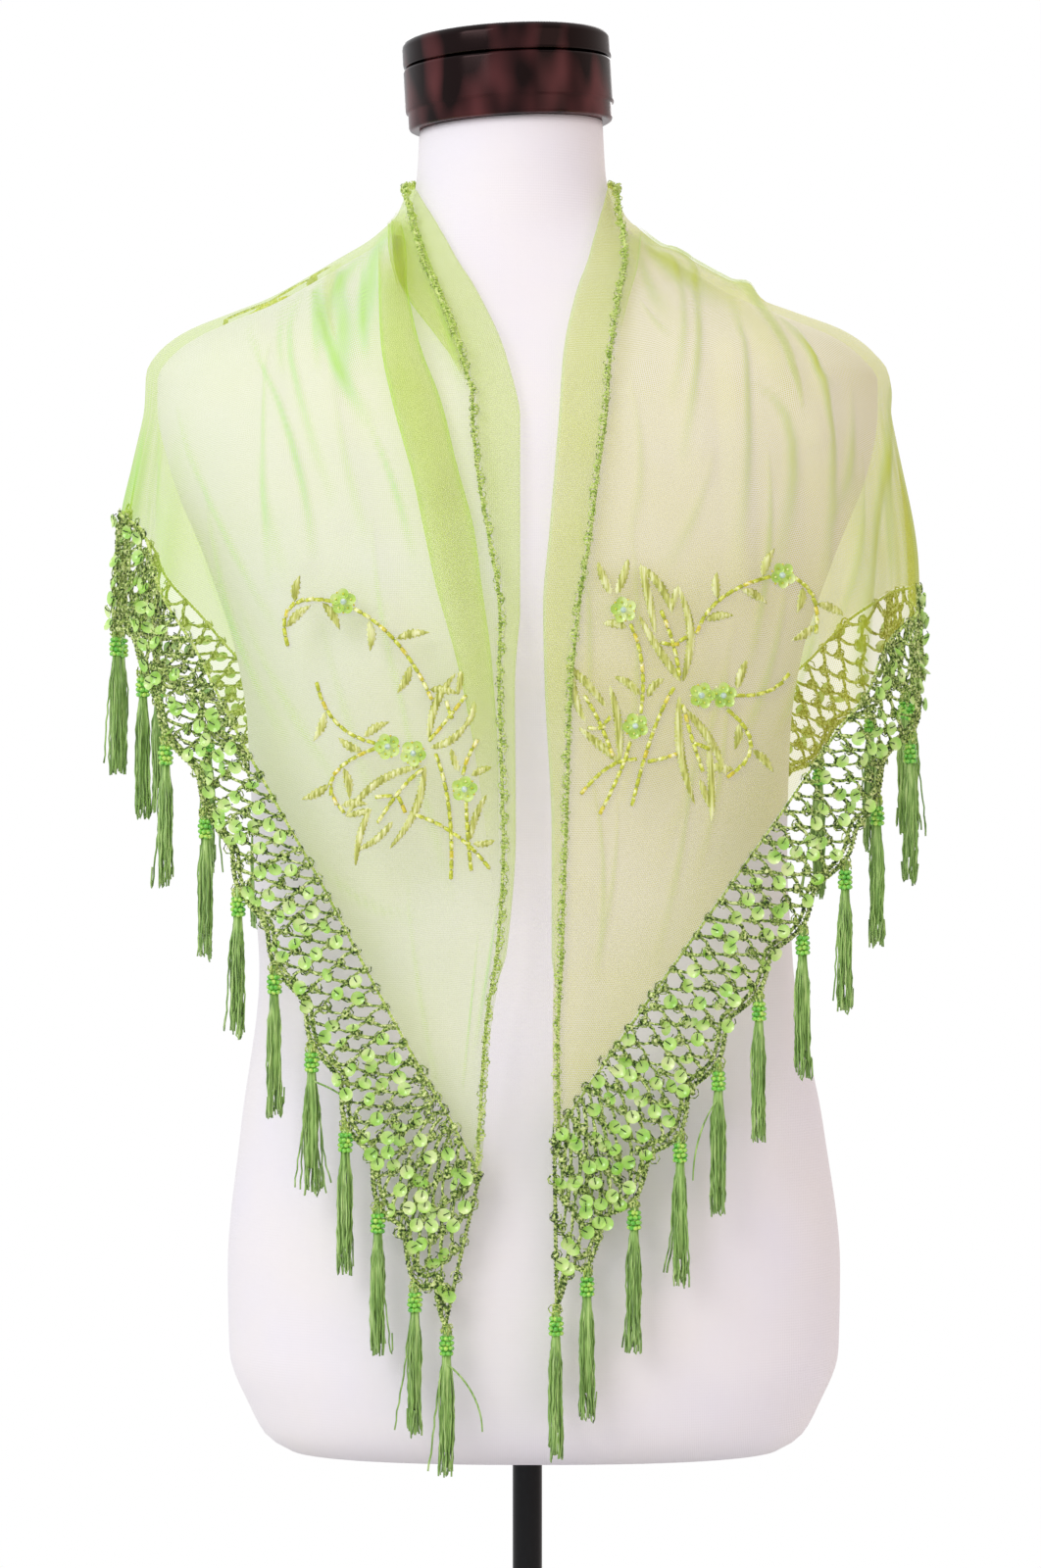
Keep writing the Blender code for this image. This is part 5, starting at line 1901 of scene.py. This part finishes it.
def add_flower(batch, middle, facing, seed):
    """Five cup sequins round a pearl, each held by a seed bead."""
    x, z = middle
    side = -1 if x < ring_at(z)[3] else 1
    angle = across_angle(side, z, x)
    if facing < 0:
        angle = math.pi - angle
    first = 0.3 + seed
    turn = first + np.arange(5) * 2.0 * math.pi / 5
    spots = np.stack([x + np.cos(turn) * 4.5, z + np.sin(turn) * 4.5], -1)
    frame = frames_at(side, np.full(5, z), np.full(5, angle))
    centres = front_place(spots[:, 0], spots[:, 1], STITCH_OUT + 0.5, facing)
    centres = centres + frame[:, 2] * np.array([0.0, 0.35, 0.7, 0.35, 0.1])[:, None]
    batch.stamp(FLOWER_CUP, centres, frame, 4)
    batch.stamp(SMALL_SEED, centres + frame[:, 2] * 0.8, frame, 1)
    between = np.stack([x + np.cos(turn + 0.63) * 6.4, z + np.sin(turn + 0.63) * 6.4], -1)
    beads = front_place(between[:, 0], between[:, 1], STITCH_OUT + 0.9, facing)
    batch.stamp(SMALL_SEED, beads, frame, 2)
    pearl = front_place(np.array([x]), np.array([z]), STITCH_OUT + 2.6, facing)
    batch.stamp(PEARL_BEAD, pearl, frame[:1], 5)


FLOWER_CUP = disc_shape((0.8, 1.9, 2.8, 3.4), (0.0, 0.0, 0.3, 0.9, 1.4), 12)
SMALL_SEED = ball_shape(0.8, 6, 4)
PEARL_BEAD = ball_shape(1.9, 12, 7)
STITCHING = [LEAF_CORD, BUGLE_GREEN, BUGLE_AMBER, LEAF_SATIN, FLOWER_SEQUIN, PEARL]


def moved(place, facing):
    """Place on the side faced: the back's are drawn in and lifted."""
    if facing > 0:
        return place
    return (place[0] * BACK_SPREAD, place[1] + BACK_LIFT)


def build_embroidery():
    """Beaded sprays on both fronts and, alike, on the back."""
    pieces = []
    for name, facing, side in (("left", 1, -1), ("right", 1, 1), ("back", -1, 0)):
        batch = Batch()
        for k, middle in enumerate(FLOWERS):
            if side in (0, math.copysign(1, middle[0])):
                add_flower(batch, moved(middle, facing), facing, k * 0.37)
        for k, (start, middle, end, leaves) in enumerate(VINES):
            if side in (0, math.copysign(1, start[0])):
                vine = (moved(start, facing), moved(middle, facing), moved(end, facing), leaves)
                add_vine(batch, vine, facing, k * 3.1)
        for foot, tip, half_width, bend in LONG_LEAVES:
            if side in (0, math.copysign(1, foot[0])):
                leaf = (moved(foot, facing), moved(tip, facing), half_width, bend)
                add_long_leaf(batch, leaf, facing)
        if facing < 0:
            add_vine(batch, SHOULDER_VINE, facing, 5.0)
        piece = batch.piece("embroidery_" + name, STITCHING)
        pieces.append(piece)
    return pieces

def build_camera():
    """Level camera three metres in front, at the photo's framing."""
    camera = bpy.data.cameras.new("camera")
    camera.lens = 112.5
    camera.sensor_width = 36.0
    camera.sensor_fit = "AUTO"
    camera.clip_end = 50.0
    obj = add_object("camera", camera)
    obj.location = (-0.0042, -3.0, 0.625)
    obj.rotation_euler = (math.pi / 2.0, 0.0, 0.0)
    bpy.context.scene.camera = obj


def add_light(name, place, aim, size, power, colour=(1.0, 1.0, 1.0)):
    """Square soft light at a place, turned to its aim."""
    light = bpy.data.lights.new(name, "AREA")
    light.size = size
    light.energy = power
    light.color = colour
    obj = add_object(name, light)
    obj.location = place
    run = [b - a for a, b in zip(place, aim)]
    yaw = math.atan2(-run[0], run[1])
    pitch = math.atan2(math.hypot(run[0], run[1]), -run[2])
    obj.rotation_euler = (pitch, 0.0, yaw)


# Floor, in metres
FLOOR_SIDES = 96
FLOOR_RADIUS = 0.8


def build_surroundings():
    """White studio: pale floor, plain bright world and three soft lights."""
    world = bpy.data.worlds.new("studio")
    bpy.context.scene.world = world
    world.use_nodes = True
    tree = world.node_tree
    ground = tree.nodes["Background"]
    ground.inputs["Color"].default_value = (1.0, 1.0, 1.0, 1.0)
    ground.inputs["Strength"].default_value = 1.0
    ambient = tree.nodes.new("ShaderNodeBackground")
    place = tree.nodes.new("ShaderNodeTexCoord")
    parts = tree.nodes.new("ShaderNodeSeparateXYZ")
    tree.links.new(place.outputs["Generated"], parts.inputs["Vector"])
    across = scaled(tree, parts.outputs["X"], 0.5, 0.5)
    tint = ramp_node(tree, across, ((0.45, (0.97, 0.98, 1.0)), (1.0, (0.86, 0.75, 0.70))))
    tree.links.new(tint.outputs["Color"], ambient.inputs["Color"])
    ambient.inputs["Strength"].default_value = 0.78
    rays = tree.nodes.new("ShaderNodeLightPath")
    mix = tree.nodes.new("ShaderNodeMixShader")
    tree.links.new(rays.outputs["Is Camera Ray"], mix.inputs["Fac"])
    tree.links.new(ambient.outputs["Background"], mix.inputs[1])
    tree.links.new(ground.outputs["Background"], mix.inputs[2])
    tree.links.new(mix.outputs["Shader"], tree.nodes["World Output"].inputs["Surface"])
    add_light("key", (-1.6, -2.2, 2.2), (0.0, 0.0, 0.7), 1.6, 30.0)
    add_light("fill", (2.0, -1.8, 1.2), (0.0, 0.0, 0.7), 1.6, 5.0, (1.0, 0.82, 0.74))
    add_light("back", (0.3, 2.2, 2.0), (0.0, 0.0, 0.7), 1.6, 16.0)
    mesh = bpy.data.meshes.new("floor")
    turn = turns(FLOOR_SIDES)
    ring = np.stack([np.cos(turn), np.sin(turn), np.zeros(FLOOR_SIDES)], -1) * FLOOR_RADIUS
    mesh.from_pydata(ring.tolist(), [], [list(range(FLOOR_SIDES))])
    floor = add_object("floor", mesh)
    material, _, _ = new_material("floor", (0.86, 0.86, 0.86), 0.6)
    mesh.materials.append(material)
    scene = bpy.context.scene
    scene.view_settings.view_transform = "Standard"
    scene.view_settings.look = "None"


build_camera()
build_surroundings()
build_form()
build_cap()
build_stand()
nets = build_net()
pleats = build_pleats()
lapels = build_lapels()
trims = build_trims()
laces = build_lace()
tassels = build_tassels()
sprays = build_embroidery()
